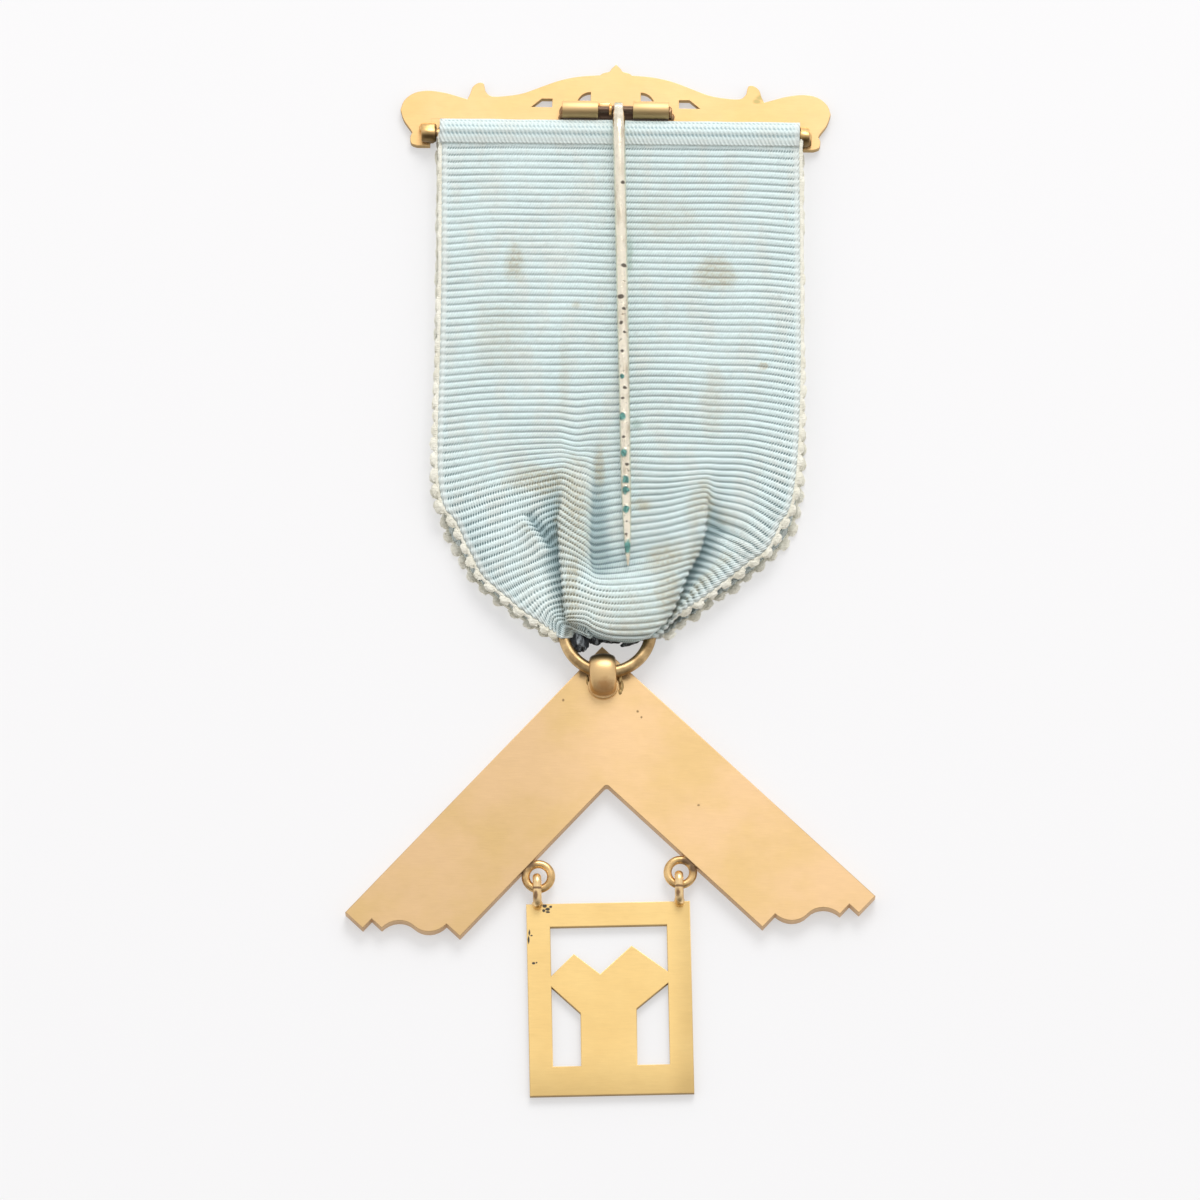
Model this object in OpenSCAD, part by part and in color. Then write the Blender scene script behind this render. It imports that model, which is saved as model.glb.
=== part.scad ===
// Breast jewel on a ribbon, lying face down with its pin side up.
// The rest plane is z = 0, and the origin lies on it under the middle of the pin's hinge.

/* [Top bar] */
// Width of the scroll bar over its side lobes
bar_w = 44.5; // [42:0.5:50]
// Height of the bar's finial above its lower edge
bar_h = 6; // [5:0.1:7]
// Thickness of the bar
bar_t = 0.9; // [0.7:0.1:1.1]
// Length of the two feet below the lower edge
foot_l = 3; // [2.9:0.1:3.4]
// Space between the ribbon's side and each foot
foot_gap = 0.5; // [0.45:0.05:1]

/* [Hinge and pin] */
// Height of the hinge above the bar's lower edge
hinge_up = 0.68; // [0.6:0.02:1]
// Outside diameter of the hinge tubes
knuckle_d = 1.8; // [1.6:0.05:2]
// Length of each hinge tube
knuckle_l = 3.7; // [3:0.1:5]
// Space between the two hinge tubes
knuckle_gap = 3.6; // [3:0.1:4.5]
// Thickness of the strip under the hinge tubes
strip_t = 0.5; // [0.4:0.05:0.8]
// Diameter of the hinge rivet
rivet_d = 0.7; // [0.5:0.05:0.8]
// Diameter of the pin's wire at the hinge
pin_d = 1.16; // [0.9:0.02:1.2]
// Length of the pin from the hinge to its point
pin_l = 49; // [44:0.5:50]
// Length of the pin's tapered point
point_l = 7; // [4:0.5:10]
// Turn of the pin towards the right, seen from the back
pin_turn = 1.78; // [0:0.1:3]
// Width of the pin's rolled eye
eye_w = 1.7; // [1.4:0.1:2.4]
// Play between the rivet and the pin's eye, all round
rivet_play = 0.05; // [0.02:0.01:0.1]

/* [Ribbon] */
// Width of the ribbon
ribbon_w = 38.1; // [34:0.1:39]
// Length of the ribbon from the rod down to the bottom of its loop
ribbon_drop = 54.15; // [50:0.1:60]
// Thickness of the ribbon's wall
cloth_t = 1; // [1:0.1:1.2]
// Height of the folds over the gathered end
fold_h = 0.55; // [0.2:0.05:0.8]
// How much lower the front layer's curved edge lies
front_lap = 1; // [0:0.1:1.5]
// Diameter of the rod
rod_d = 0.8; // [0.6:0.05:1]
// Distance of the rod below the bar's lower edge
rod_down = 1.8; // [1.7:0.05:2]
// Outside diameter of the eyes that hold the rod
rod_eye_d = 2; // [1.7:0.1:2.2]
// Length of each rod eye
rod_eye_l = 1.1; // [0.8:0.1:1.5]

/* [Suspension ring] */
// Outside diameter of the ring
ring_d = 10.1; // [9:0.1:11]
// Diameter of the ring's wire
ring_wire = 1.24; // [1:0.02:1.3]
// Sideways place of the ring against the bail
ring_shift = 0.6; // [0:0.1:0.9]

/* [Square] */
// Length of each leg along its outer edge
leg_l = 38; // [34:0.5:44]
// Width of each leg
leg_w = 10.2; // [9:0.1:12]
// Thickness of the square
square_t = 1.7; // [1.4:0.1:2]
// Radius of the inner corner
inner_r = 0.3; // [0.1:0.1:1]
// Turn of the square as it lies
square_turn = 2.5; // [-3:0.5:4]
// Width of the bail
bail_w = 2.7; // [2:0.1:3.5]
// Thickness of the bail
bail_t = 0.75; // [0.5:0.05:1]
// Outside diameter of the eye rings on the legs
eye_ring_d = 3.3; // [3:0.1:3.8]
// Wire of the eye rings
eye_ring_wire = 0.78; // [0.6:0.02:0.9]
// Distance between the centres of the two eye rings
eye_ring_span = 14.4; // [13:0.1:15]

/* [Plate] */
// Width of the pierced plate
plate_w = 16.6; // [16.4:0.1:18]
// Height of the pierced plate
plate_h = 19.8; // [18:0.1:24]
// Thickness of the plate
plate_t = 0.85; // [0.7:0.05:1]
// Width of the plate's side and top borders
border_w = 2.4; // [2:0.1:3]
// Width of the plate's bottom border
border_low = 3; // [2:0.1:4]
// Turn of the plate as it lies
plate_turn = 1.9; // [-3:0.1:4]
// Wire of the two loops on the plate
loop_wire = 0.7; // [0.5:0.02:0.8]

/* [Hidden] */
$fn = 48;
eps = 0.01;
// Small gap between pieces that lie on or in each other
play = 0.06;

// Outline of the bar's right half from the finial to the lobe
// across as share of half the width, up as share of the height, 1 at a sharp corner
BAR_CREST = [
    [0.000, 1.000, 1],
    [0.021, 0.925, 0],
    [0.031, 0.872, 0],
    [0.060, 0.843, 0],
    [0.074, 0.805, 1],
    [0.167, 0.778, 0],
    [0.256, 0.708, 0],
    [0.341, 0.592, 0],
    [0.428, 0.467, 0],
    [0.499, 0.417, 0],
    [0.575, 0.400, 0],
    [0.604, 0.480, 0],
    [0.610, 0.560, 0],
    [0.617, 0.635, 0],
    [0.640, 0.642, 0],
    [0.666, 0.567, 0],
    [0.677, 0.450, 0],
    [0.690, 0.345, 1],
    [0.731, 0.390, 0],
    [0.797, 0.458, 0],
    [0.875, 0.492, 0],
    [0.940, 0.443, 0],
    [0.984, 0.307, 0],
    [1.000, 0.143, 1]
];
// Outline of the right foot from the lobe to the lower edge
// across as share of the way from the foot's inner side to the bar's side,
// down as share of the foot, 1 at a sharp corner
BAR_FOOT = [
    [1.000, -0.286, 0],
    [0.890, 0.080, 0],
    [0.676, 0.413, 0],
    [0.614, 0.533, 1],
    [0.676, 0.700, 0],
    [0.635, 0.917, 0],
    [0.449, 1.000, 1],
    [0.036, 1.000, 1],
    [0.000, 0.033, 1]
];
// Outer cut of the bar: across as share of half the width, up as share of the height
BAR_CUT = [
    [0.295, 0.220],
    [0.295, 0.367],
    [0.343, 0.367],
    [0.391, 0.220]
];
// Inner cut of the bar, a quarter disc
cut_in = 0.117 * bar_w / 2;
cut_r = 1.4;
cut_up = 0.26 * bar_h;
steps = 3;

hinge_z = bar_t + strip_t + knuckle_d / 2;
bar_low = -hinge_up;
knuckle_in = knuckle_gap / 2;
knuckle_out = knuckle_in + knuckle_l;
rivet_gap = 0.02;

rod_y = bar_low - rod_down;
rod_play = 0.08;
loop_r = rod_d / 2 + rod_play + cloth_t / 2;
rod_z = loop_r + cloth_t / 2 + play;
// The ribbon's side at the rod, as share of half its width, carries the feet and the rod's eyes
ROD_SIDE = 0.972;
ribbon_side = ROD_SIDE * ribbon_w / 2;
foot_in = ribbon_side + foot_gap;
rod_eye_gap = 0.43;
rod_eye_out = ribbon_side + rod_eye_gap + rod_eye_l;
rod_dome = 0.15;
rod_half = rod_eye_out - rod_dome;

// The ring lies on the square's back and, further up, on the ribbon's front layer
front_z = cloth_t / 2 + play;
ring_gap = 0.15;
ring_r = (ring_d - ring_wire) / 2;
ring_low_z = square_t + ring_gap + ring_wire / 2;
ring_up_z = front_z + cloth_t / 2 + play + ring_wire / 2;
cloth_gap = 0.2;

// The rod's loop, the two layers and the fold at the ring, as heights of the wall's middle
layer_gap = 0.4;
back_z = front_z + cloth_t + layer_gap;
ribbon_end = rod_y - ribbon_drop;
bight_z = (ring_low_z + ring_up_z + ring_wire + cloth_t) / 2 + cloth_gap;
bight_r = (bight_z - front_z) / 2;
bight_y = ribbon_end + bight_r + cloth_t / 2;
ribbon_run = rod_y - bight_y;

// The ribbon's back layer from the rod to the fold
// down as share of the run, left and right edges and the two fold lines as shares of half the
// ribbon's width, height of the folds as share of fold_h, lift towards the ring as share
RIBBON_ROWS = [
    [0.000, -0.968, ROD_SIDE, -0.300, 0.520, 0.00, 1.00],
    [0.030, -0.969, 0.986, -0.300, 0.520, 0.00, 0.55],
    [0.060, -0.970, 0.998, -0.300, 0.520, 0.00, 0.15],
    [0.100, -0.972, 1.010, -0.300, 0.520, 0.00, 0.00],
    [0.250, -0.974, 1.025, -0.290, 0.520, 0.00, 0.00],
    [0.400, -0.976, 1.036, -0.270, 0.525, 0.00, 0.00],
    [0.550, -0.976, 1.040, -0.260, 0.530, 0.10, 0.00],
    [0.650, -0.966, 1.030, -0.252, 0.530, 0.35, 0.02],
    [0.720, -0.934, 0.990, -0.258, 0.530, 0.70, 0.06],
    [0.780, -0.884, 0.935, -0.270, 0.510, 1.00, 0.12],
    [0.830, -0.815, 0.850, -0.272, 0.470, 1.00, 0.25],
    [0.880, -0.722, 0.720, -0.266, 0.410, 1.00, 0.47],
    [0.920, -0.630, 0.600, -0.252, 0.345, 1.00, 0.74],
    [0.960, -0.530, 0.490, -0.235, 0.290, 1.00, 0.95],
    [1.000, -0.405, 0.400, -0.215, 0.250, 0.80, 1.00]
];
DOWN = 0;
LEFT = 1;
RIGHT = 2;
FOLD_LEFT = 3;
FOLD_RIGHT = 4;
FOLD = 5;
LIFT = 6;
// Where the layers are cut into sections, as shares of the run
RIBBON_CUTS = [
    0.03, 0.07, 0.12, 0.2, 0.3, 0.4, 0.5, 0.58, 0.64,
    0.69, 0.73, 0.77, 0.81, 0.85, 0.88, 0.91, 0.94, 0.97
];
bend_steps = 8;
// Half the width of the fold where it goes through the ring, and its middle
neck_half = 3.15;
neck_x = -0.12;
fold_edge_w = 0.35;

// The bail's arch stands on the square round the ring's wire
bail_play = 0.32;
bail_in = ring_wire + bail_play;
bail_out = bail_in + bail_t;
bail_down = 0.44;
bail_y = -bail_out - bail_down;
bail_tail = 0.5;
bail_pad = 0.16;
bail_pad_edge = 0.18;
ring_sag = 0.1;
ring_y = bail_y - ring_sag + sqrt(pow(ring_r, 2) - pow(ring_shift, 2));
ring_tilt = asin((ring_low_z - ring_up_z) / (2 * ring_r));

// The square's corner lies just below the ribbon's fold
corner_gap = 0.3;
square_x = -0.71;
square_y = ribbon_end - corner_gap;

// End of a leg, as shares of the leg's width: a step, a ledge, and two quarter curves
STEP_ACROSS = 0.24;
STEP_BACK = 0.13;
LEDGE_ACROSS = 0.377;
CURVE_ACROSS = 0.22;
CURVE_BACK = 0.235;
curve_steps = 8;

eye_ring_r = (eye_ring_d - eye_ring_wire) / 2;
eye_ring_z = loop_wire + play + eye_ring_wire / 2 + play;
eye_ring_sunk = 0.18;
// The eye rings touch the inner edges of the legs, so their height follows from their span
eye_ring_off = leg_w + eye_ring_d / 2 - eye_ring_sunk;
eye_ring_y = -eye_ring_off * sqrt(2) - eye_ring_span / 2;
solder_r = 0.5;
solder_sunk = 0.1;

loop_r_mid = eye_ring_wire / 2 + play + loop_wire / 2;
loop_l = 1.4;
loop_up = 0.55;
plate_shift = -0.2;
loop_shift = -0.15;
loop_slack = 0.38;
loop_reach = loop_up + loop_l;
plate_drop = eye_ring_r + loop_reach - loop_slack;

// Windows of the plate: across as share of the inner half width, down as share of the inner height
WINDOW_TOP = [
    [-1.000, 0.000],
    [1.000, 0.000],
    [1.000, 0.335],
    [0.390, 0.145],
    [-0.160, 0.345],
    [-0.605, 0.197],
    [-1.000, 0.352]
];
WINDOW_LEFT = [
    [-1.000, 0.432],
    [-0.512, 0.622],
    [-0.520, 1.000],
    [-1.000, 1.000]
];
WINDOW_RIGHT = [
    [1.000, 0.420],
    [0.455, 0.597],
    [0.445, 1.000],
    [1.000, 1.000]
];

function last(t) = t[len(t) - 1];
function mix(a, b, f) = a + (b - a) * f;
function ease(f) = let (g = min(1, max(0, f))) g * g * (3 - 2 * g);

// A point at share f of the smooth curve from b to c, with a before it and d after it
function curve_point(a, b, c, d, f) =
    b * (1 - f) * (1 - f) * (1 + 2 * f)
    + c * f * f * (3 - 2 * f)
    + (c - a) / 2 * f * (1 - f) * (1 - f)
    + (b - d) / 2 * f * f * (1 - f);
function place(row) = [row[0], row[1]];
function before(t, i) = i == 0 || t[i][2] == 1 ? place(t[i]) : place(t[i - 1]);
function after(t, i) = i == len(t) - 1 || t[i][2] == 1 ? place(t[i]) : place(t[i + 1]);
function smooth(t) = [
    for (i = [0 : len(t) - 2])
        for (k = [0 : steps - 1])
            curve_point(before(t, i), place(t[i]), place(t[i + 1]), after(t, i + 1), k / steps),
    place(last(t))
];
function mirrored(points) = [for (i = [len(points) - 1 : -1 : 0]) [-points[i][0], points[i][1]]];

function bar_half() = concat(
    [for (p = smooth(BAR_CREST)) [p[0] * bar_w / 2, p[1] * bar_h]],
    [for (p = smooth(BAR_FOOT)) [mix(foot_in, bar_w / 2, p[0]), -p[1] * foot_l]]
);

module bar_outline() {
    difference() {
        polygon(concat(bar_half(), mirrored(bar_half())));
        for (side = [-1, 1])
            scale([side, 1]) bar_cuts();
    }
}

module bar_cuts() {
    polygon([for (p = BAR_CUT) [p[0] * bar_w / 2, p[1] * bar_h]]);
    intersection() {
        translate([cut_in, cut_up]) circle(cut_r);
        translate([cut_in, cut_up]) square(2 * cut_r);
    }
}

// A round bar along X from x = a to x = b
module along_x(a, b, d) {
    translate([a, 0, 0]) rotate([0, 90, 0]) cylinder(h = b - a, d = d);
}

module top_bar() {
    color("goldenrod") difference() {
        union() {
            translate([0, bar_low, 0]) linear_extrude(bar_t) bar_outline();
            hinge_base();
            rod_eyes();
        }
        translate([0, 0, hinge_z]) along_x(-knuckle_out - 1, knuckle_out + 1, rivet_d + 2 * rivet_gap);
        translate([0, rod_y, rod_z]) along_x(-bar_w, bar_w, rod_d + 2 * rivet_gap);
    }
}

// Strip and two tubes of the hinge, soldered to the bar's back
module hinge_base() {
    strip_w = knuckle_d * 0.8;
    translate([-knuckle_out, -strip_w / 2, bar_t - eps])
        cube([2 * knuckle_out, strip_w, strip_t + 2 * eps + knuckle_d * 0.04]);
    for (side = [-1, 1])
        translate([0, 0, hinge_z])
            along_x(side > 0 ? knuckle_in : -knuckle_out, side > 0 ? knuckle_out : -knuckle_in, knuckle_d);
}

// Short tubes on the feet, with a block of solder below each
module rod_eyes() {
    block_w = rod_eye_d * 0.7;
    block_top = rod_z - rod_eye_d * 0.3;
    for (side = [-1, 1]) {
        x = side > 0 ? rod_eye_out - rod_eye_l : -rod_eye_out;
        translate([0, rod_y, rod_z]) along_x(x, x + rod_eye_l, rod_eye_d);
        translate([x, rod_y - block_w / 2, bar_t / 2]) cube([rod_eye_l, block_w, block_top - bar_t / 2]);
    }
}

module hinge_rivet() {
    color("darkgoldenrod") translate([0, 0, hinge_z]) along_x(-knuckle_out, knuckle_out, rivet_d);
}

// The rod ends in low domes just outside its eyes
module ribbon_rod() {
    end = [for (k = [0 : 6]) [rod_d / 2 * cos(15 * k), rod_half + rod_dome * sin(15 * k)]];
    start = [for (k = [6 : -1 : 0]) [end[k][0], -end[k][1]]];
    color("goldenrod") translate([0, rod_y, rod_z]) rotate([0, 90, 0])
        rotate_extrude() polygon(concat(end, start));
}

// A round stick from a to b with its own diameter at each end
module stick(a, b, d1, d2) {
    v = b - a;
    length = norm(v);
    translate(a) rotate([0, acos(v[2] / length), atan2(v[1], v[0])]) cylinder(h = length, d1 = d1, d2 = d2);
}

pin_x = 0.3;
eye_wall = 0.35;
// Space between the pin and the ribbon over the rod
pin_gap = 0.3;
root_back = 0.1;
// The wire leaves the eye, rises over the ribbon's hump and runs level to its point
pin_root = [pin_x, -root_back, hinge_z + rivet_d / 2 + rivet_play + pin_d * 0.3];
pin_z = rod_z + loop_r + cloth_t / 2 + pin_gap + pin_d / 2;
pin_bend = [pin_x - rod_y * tan(pin_turn), rod_y + rod_d / 2, pin_z];
pin_tip = [pin_x + pin_l * tan(pin_turn), -pin_l, pin_z];
point_d = 0.25;
waist_d = 0.86 * pin_d;
pin_waist = mix(pin_tip, pin_bend, point_l / pin_l);
pin_eye_d = rivet_d + 2 * rivet_play + 2 * eye_wall;

module brooch_pin() {
    color("lightsteelblue") difference() {
        union() {
            translate([pin_x, 0, hinge_z]) along_x(-eye_w / 2, eye_w / 2, pin_eye_d);
            translate(pin_root) sphere(d = pin_d * 1.02);
            stick(pin_root, pin_bend, pin_d, pin_d);
            translate(pin_bend) sphere(d = pin_d * 1.02);
            stick(pin_bend, pin_waist, pin_d, waist_d);
            stick(pin_waist, pin_tip, waist_d, point_d);
        }
        translate([0, 0, hinge_z]) along_x(-eye_w * 2, eye_w * 2, rivet_d + 2 * rivet_play);
    }
}

// Value of one column of the ribbon's table at share t of the run
function ribbon_at(t, column) = lookup(t, [for (row = RIBBON_ROWS) [row[DOWN], row[column]]]);
function half_w(share) = share * ribbon_w / 2;

// A section across the ribbon: y and z of the wall's middle, y and z of the outward normal,
// left edge, left fold, right fold, right edge, height of the folds
function layer_section(t, side) =
    let (s = side > 0 ? t : max(0, t - front_lap / ribbon_run * ease((t - 0.5) * 4)))
    let (lift = side > 0 ? ribbon_at(t, LIFT) : 0)
    let (top = t < 0.5 ? rod_z + loop_r : bight_z)
    [
        rod_y - t * ribbon_run,
        side > 0 ? mix(back_z, top, lift) : front_z,
        0,
        side,
        half_w(ribbon_at(s, LEFT)),
        half_w(ribbon_at(s, FOLD_LEFT)),
        half_w(ribbon_at(s, FOLD_RIGHT)),
        half_w(ribbon_at(s, RIGHT)),
        side > 0 ? fold_h * ribbon_at(s, FOLD) : 0
    ];

// The fold round the ring's upper wire, from the back layer to the front one
function fold_section(a) =
    let (f = sin(a))
    let (row = last(RIBBON_ROWS))
    let (narrow = a < 90 ? ease(f * 2.6) : ease((f - 0.62) * 7))
    let (right = mix(half_w(row[RIGHT]), neck_x + neck_half, narrow))
    let (left = mix(half_w(row[LEFT]), neck_x - neck_half, narrow))
    [
        bight_y - bight_r * sin(a),
        front_z + bight_r + bight_r * cos(a),
        -sin(a),
        cos(a),
        left,
        mix(left, right, 0.15),
        mix(left, right, 0.87),
        right,
        a < 90 ? fold_h * row[FOLD] * cos(a) : 0
    ];

// The turn over the rod, from the front layer to the back one
function rod_section(a) =
    let (row = RIBBON_ROWS[0])
    [
        rod_y + loop_r * sin(a),
        rod_z - loop_r * cos(a),
        sin(a),
        -cos(a),
        half_w(row[LEFT]),
        half_w(row[FOLD_LEFT]),
        half_w(row[FOLD_RIGHT]),
        half_w(row[RIGHT]),
        0
    ];

function ribbon_sections() = concat(
    [for (t = RIBBON_CUTS) layer_section(t, 1)],
    [for (k = [0 : bend_steps]) fold_section(180 * k / bend_steps)],
    [for (i = [len(RIBBON_CUTS) - 1 : -1 : 0]) layer_section(RIBBON_CUTS[i], -1)],
    [for (k = [0 : bend_steps]) rod_section(180 * k / bend_steps)]
);

// Places across a section, closer together at the two fold lines
function across(s) =
    let (e = min(fold_edge_w, (s[5] - s[4]) * 0.4, (s[7] - s[6]) * 0.4))
    concat(
        [for (f = [0, 0.03, 0.35, 0.7]) mix(s[4], s[5] - e, f)],
        [s[5] - e, s[5], s[5] + e],
        [for (f = [0.25, 0.42, 0.58, 0.75]) mix(s[5], s[6], f)],
        [s[6] - e, s[6], s[6] + e],
        [for (f = [0.3, 0.65, 0.97, 1]) mix(s[6] + e, s[7], f)]
    );

// Height of the folds at x: the middle panel lies over the side panels, with a dip in its middle
function fold_at(s, x) =
    let (e = fold_edge_w)
    let (panel = ease((x - s[5] + e) / (2 * e)) * ease((s[6] + e - x) / (2 * e)))
    let (dip = ease(1 - abs((x - mix(s[5], s[6], 0.42)) / (s[6] - s[5]) * 2.6)))
    s[8] * panel * (1 - 0.55 * dip);

function section_points(s) =
    let (xs = across(s))
    let (n = len(xs) - 1)
    concat(
        [for (x = xs) let (o = cloth_t / 2 + fold_at(s, x)) [x, s[0] + s[2] * o, s[1] + s[3] * o]],
        [for (i = [n : -1 : 0]) let (o = -cloth_t / 2) [xs[i], s[0] + s[2] * o, s[1] + s[3] * o]]
    );

module ribbon() {
    sections = ribbon_sections();
    m = len(sections);
    k = len(section_points(sections[0]));
    points = [for (s = sections) each section_points(s)];
    faces = [
        for (i = [0 : m - 1])
            for (j = [0 : k - 1])
                let (a = i * k + j)
                let (b = i * k + (j + 1) % k)
                let (c = ((i + 1) % m) * k + (j + 1) % k)
                let (d = ((i + 1) % m) * k + j)
                each [[a, b, c], [a, c, d]]
    ];
    color("lightblue") polyhedron(points, faces);
}

// The square's own frame: its outer corner is the origin and its legs open downwards
module in_square() {
    translate([square_x, square_y, 0]) rotate([0, 0, square_turn]) children();
}

module suspension_ring() {
    color("darkgoldenrod") in_square()
        translate([ring_shift, ring_y - ring_r, ring_low_z])
            rotate([-ring_tilt, 0, 0])
                translate([0, ring_r, 0])
                    rotate_extrude() translate([ring_r, 0]) circle(d = ring_wire);
}

// A point of the right leg, from its place along the outer edge and across from that edge
function leg_point(along, across) = [along - across, -along - across] * sqrt(0.5);

// Outline of a leg's end: across from the outer edge and back from the end
function leg_end() =
    let (rx = CURVE_ACROSS * leg_w)
    let (ry = CURVE_BACK * leg_w)
    let (ledge = LEDGE_ACROSS * leg_w)
    let (back = STEP_BACK * leg_w)
    let (angles = [for (k = [0 : curve_steps]) 90 * k / curve_steps])
    concat(
        [[0, 0], [STEP_ACROSS * leg_w, 0], [STEP_ACROSS * leg_w, back]],
        [for (a = angles) [ledge + rx * (1 - cos(a)), back + ry * sin(a)]],
        [for (a = angles) if (a > 0) [ledge + rx * (1 + sin(a)), back + ry * (2 - cos(a))]],
        [[leg_w, back + 2 * ry]]
    );

// A point of the small round in the inner corner
function inner_corner(a) = [inner_r * cos(a), inner_r * (sin(a) - sqrt(2)) - leg_w * sqrt(2)];

function square_half() = concat(
    [[0, 0]],
    [for (p = leg_end()) leg_point(leg_l - p[1], p[0])],
    [for (k = [0 : 4]) inner_corner(45 + 45 * k / 4)]
);

module set_square() {
    color("burlywood") in_square() {
        linear_extrude(square_t) polygon(concat(square_half(), mirrored(square_half())));
        bail();
        for (side = [-1, 1])
            eye_ring(side);
    }
}

// Half-round strap that arches over the ring's wire, with a short tail on a thin foot
module bail() {
    crown = bail_t * 0.45;
    dome = (pow(bail_w / 2, 2) + pow(crown, 2)) / (2 * crown);
    translate([0, bail_y, square_t - eps]) rotate([0, -90, 0]) rotate([0, 0, -90])
        rotate_extrude(angle = 180) intersection() {
            translate([bail_in, -bail_w / 2]) square([bail_t, bail_w]);
            translate([bail_out - dome, 0]) circle(dome);
        }
    intersection() {
        translate([0, 0, square_t - eps]) linear_extrude(2 * bail_t) tail_outline(0);
        translate([0, bail_y, square_t + bail_t - dome]) rotate([90, 0, 0])
            cylinder(h = 2 * bail_out, r = dome);
    }
    translate([0, 0, square_t - eps]) linear_extrude(bail_pad) tail_outline(bail_pad_edge);
}

module tail_outline(grow) {
    r = bail_w / 2 + grow;
    low = bail_y - bail_out - bail_tail + bail_w / 2;
    high = bail_y - bail_in - play;
    intersection() {
        translate([0, low]) circle(r);
        translate([-r, low - r]) square([2 * r, high - low + r]);
    }
    if (high > low)
        translate([-r, low]) square([2 * r, high - low]);
}

// Flat ring soldered to the inner edge of a leg, with a drop of solder where they meet
module eye_ring(side) {
    translate([side * eye_ring_span / 2, eye_ring_y, eye_ring_z]) {
        rotate_extrude() translate([eye_ring_r, 0]) circle(d = eye_ring_wire);
        rotate([0, 0, side > 0 ? 45 : 135]) translate([eye_ring_d / 2 - solder_sunk, 0, 0])
            sphere(solder_r);
    }
}

// The plate's own frame: the middle of its top edge is the origin
module in_plate() {
    in_square() translate([0, eye_ring_y, 0]) rotate([0, 0, plate_turn - square_turn])
        translate([plate_shift, -plate_drop, 0]) children();
}

function window(rows) =
    let (inner_w = plate_w / 2 - border_w)
    let (inner_h = plate_h - border_w - border_low)
    [for (p = rows) [p[0] * inner_w, -border_w - p[1] * inner_h]];

module plate() {
    color("gold") in_plate() {
        linear_extrude(plate_t) difference() {
            translate([-plate_w / 2, -plate_h]) square([plate_w, plate_h]);
            polygon(window(WINDOW_TOP));
            polygon(window(WINDOW_LEFT));
            polygon(window(WINDOW_RIGHT));
        }
        for (side = [-1, 1])
            translate([side * eye_ring_span / 2 - plate_shift + loop_shift, 0, eye_ring_z]) plate_loop();
    }
}

// Upright oval of wire from the plate's edge through an eye ring
module plate_loop() {
    for (end = [0, 1])
        translate([0, loop_up + end * loop_l, 0]) rotate([0, 90, 0]) rotate([0, 0, end * 180 - 180])
            rotate_extrude(angle = 180) translate([loop_r_mid, 0]) circle(d = loop_wire);
    for (side = [-1, 1])
        stick([0, loop_up, side * loop_r_mid], [0, loop_reach, side * loop_r_mid], loop_wire, loop_wire);
}

top_bar();
hinge_rivet();
brooch_pin();
ribbon_rod();
ribbon();
suspension_ring();
set_square();  // square
plate();
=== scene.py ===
import math

import bmesh
import bpy
from bmesh.types import BMEdge, BMFace, BMVert
from mathutils import Matrix, Vector, noise


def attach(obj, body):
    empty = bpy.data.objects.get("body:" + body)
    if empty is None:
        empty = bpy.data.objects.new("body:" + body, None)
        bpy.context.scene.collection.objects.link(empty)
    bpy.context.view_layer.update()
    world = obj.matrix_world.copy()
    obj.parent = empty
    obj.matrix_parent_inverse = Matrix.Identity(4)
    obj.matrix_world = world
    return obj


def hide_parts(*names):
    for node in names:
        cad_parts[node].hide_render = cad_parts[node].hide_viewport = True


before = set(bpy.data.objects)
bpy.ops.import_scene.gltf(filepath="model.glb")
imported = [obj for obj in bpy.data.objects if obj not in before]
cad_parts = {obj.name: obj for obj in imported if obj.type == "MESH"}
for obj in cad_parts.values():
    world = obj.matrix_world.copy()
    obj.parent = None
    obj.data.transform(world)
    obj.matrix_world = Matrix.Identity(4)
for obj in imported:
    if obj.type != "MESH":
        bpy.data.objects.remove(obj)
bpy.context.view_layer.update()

MM = 0.001

# The photographed view: the jewel's back from above, tilted a little towards the plate
LOOK_AT = Vector((-0.98, -51.63, 0)) * MM
CAMERA_DISTANCE = 1000 * MM
CAMERA_TILT = math.radians(14)
CAMERA_TURN = math.radians(0.7)
LENS_MM = 293.4
SENSOR_MM = 36

# Room
FLOOR_HALF_SIZE = 1.6
FLOOR_COLOUR = (0.456, 0.452, 0.455, 1)
FLOOR_GLOW = 0.45
KEY_PLACE = Vector((0.12, 0.76, 0.8))
KEY_AIM = Vector((0, -0.05, 0))
KEY_SIZE = 0.6
KEY_POWER = 6.0
SKY_STRENGTH = 0.9

# Ribbon, in mm. Lengths down it are measured from the middle of the hinge
RIBBON_WIDTH = 38.1
CLOTH_THICKNESS = 0.42
BACK_FROM = 2.9
FRONT_FROM = -3.25
NECK = 59.2
RIB_START = -3.7
RIB_PITCH = 0.722
RIB_HEIGHT = 0.17
THREAD_PITCH = 0.28
HEM_THREAD_PITCH = 0.43
THREAD_SLANT = 0.55
SEAM_FROM = -2.6
CORD_FROM = 3.0
CORD_TO = 57.6
PICOTS_FROM = 3.2
PICOTS_TO = 57.2
ABOVE_FLOOR = 0.01

# The ribbon's rod, and the turn of the cloth over it
ROD_Y = -2.48
ROD_Z = 1.54
ROD_RADIUS = 0.4
TURN_RADIUS = ROD_Z - 0.14
TURN_LENGTH = math.pi * TURN_RADIUS
HEM_FALL = 0.37
HEM_REACH = 1.1


# Node trees

def new_material(name):
    """A material with one principled shader. Returns the material, its tree and the shader."""
    material = bpy.data.materials.new(name)
    material.use_nodes = True
    tree = material.node_tree
    tree.nodes.clear()
    output = tree.nodes.new("ShaderNodeOutputMaterial")
    shader = tree.nodes.new("ShaderNodeBsdfPrincipled")
    tree.links.new(shader.outputs["BSDF"], output.inputs["Surface"])
    return material, tree, shader


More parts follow.
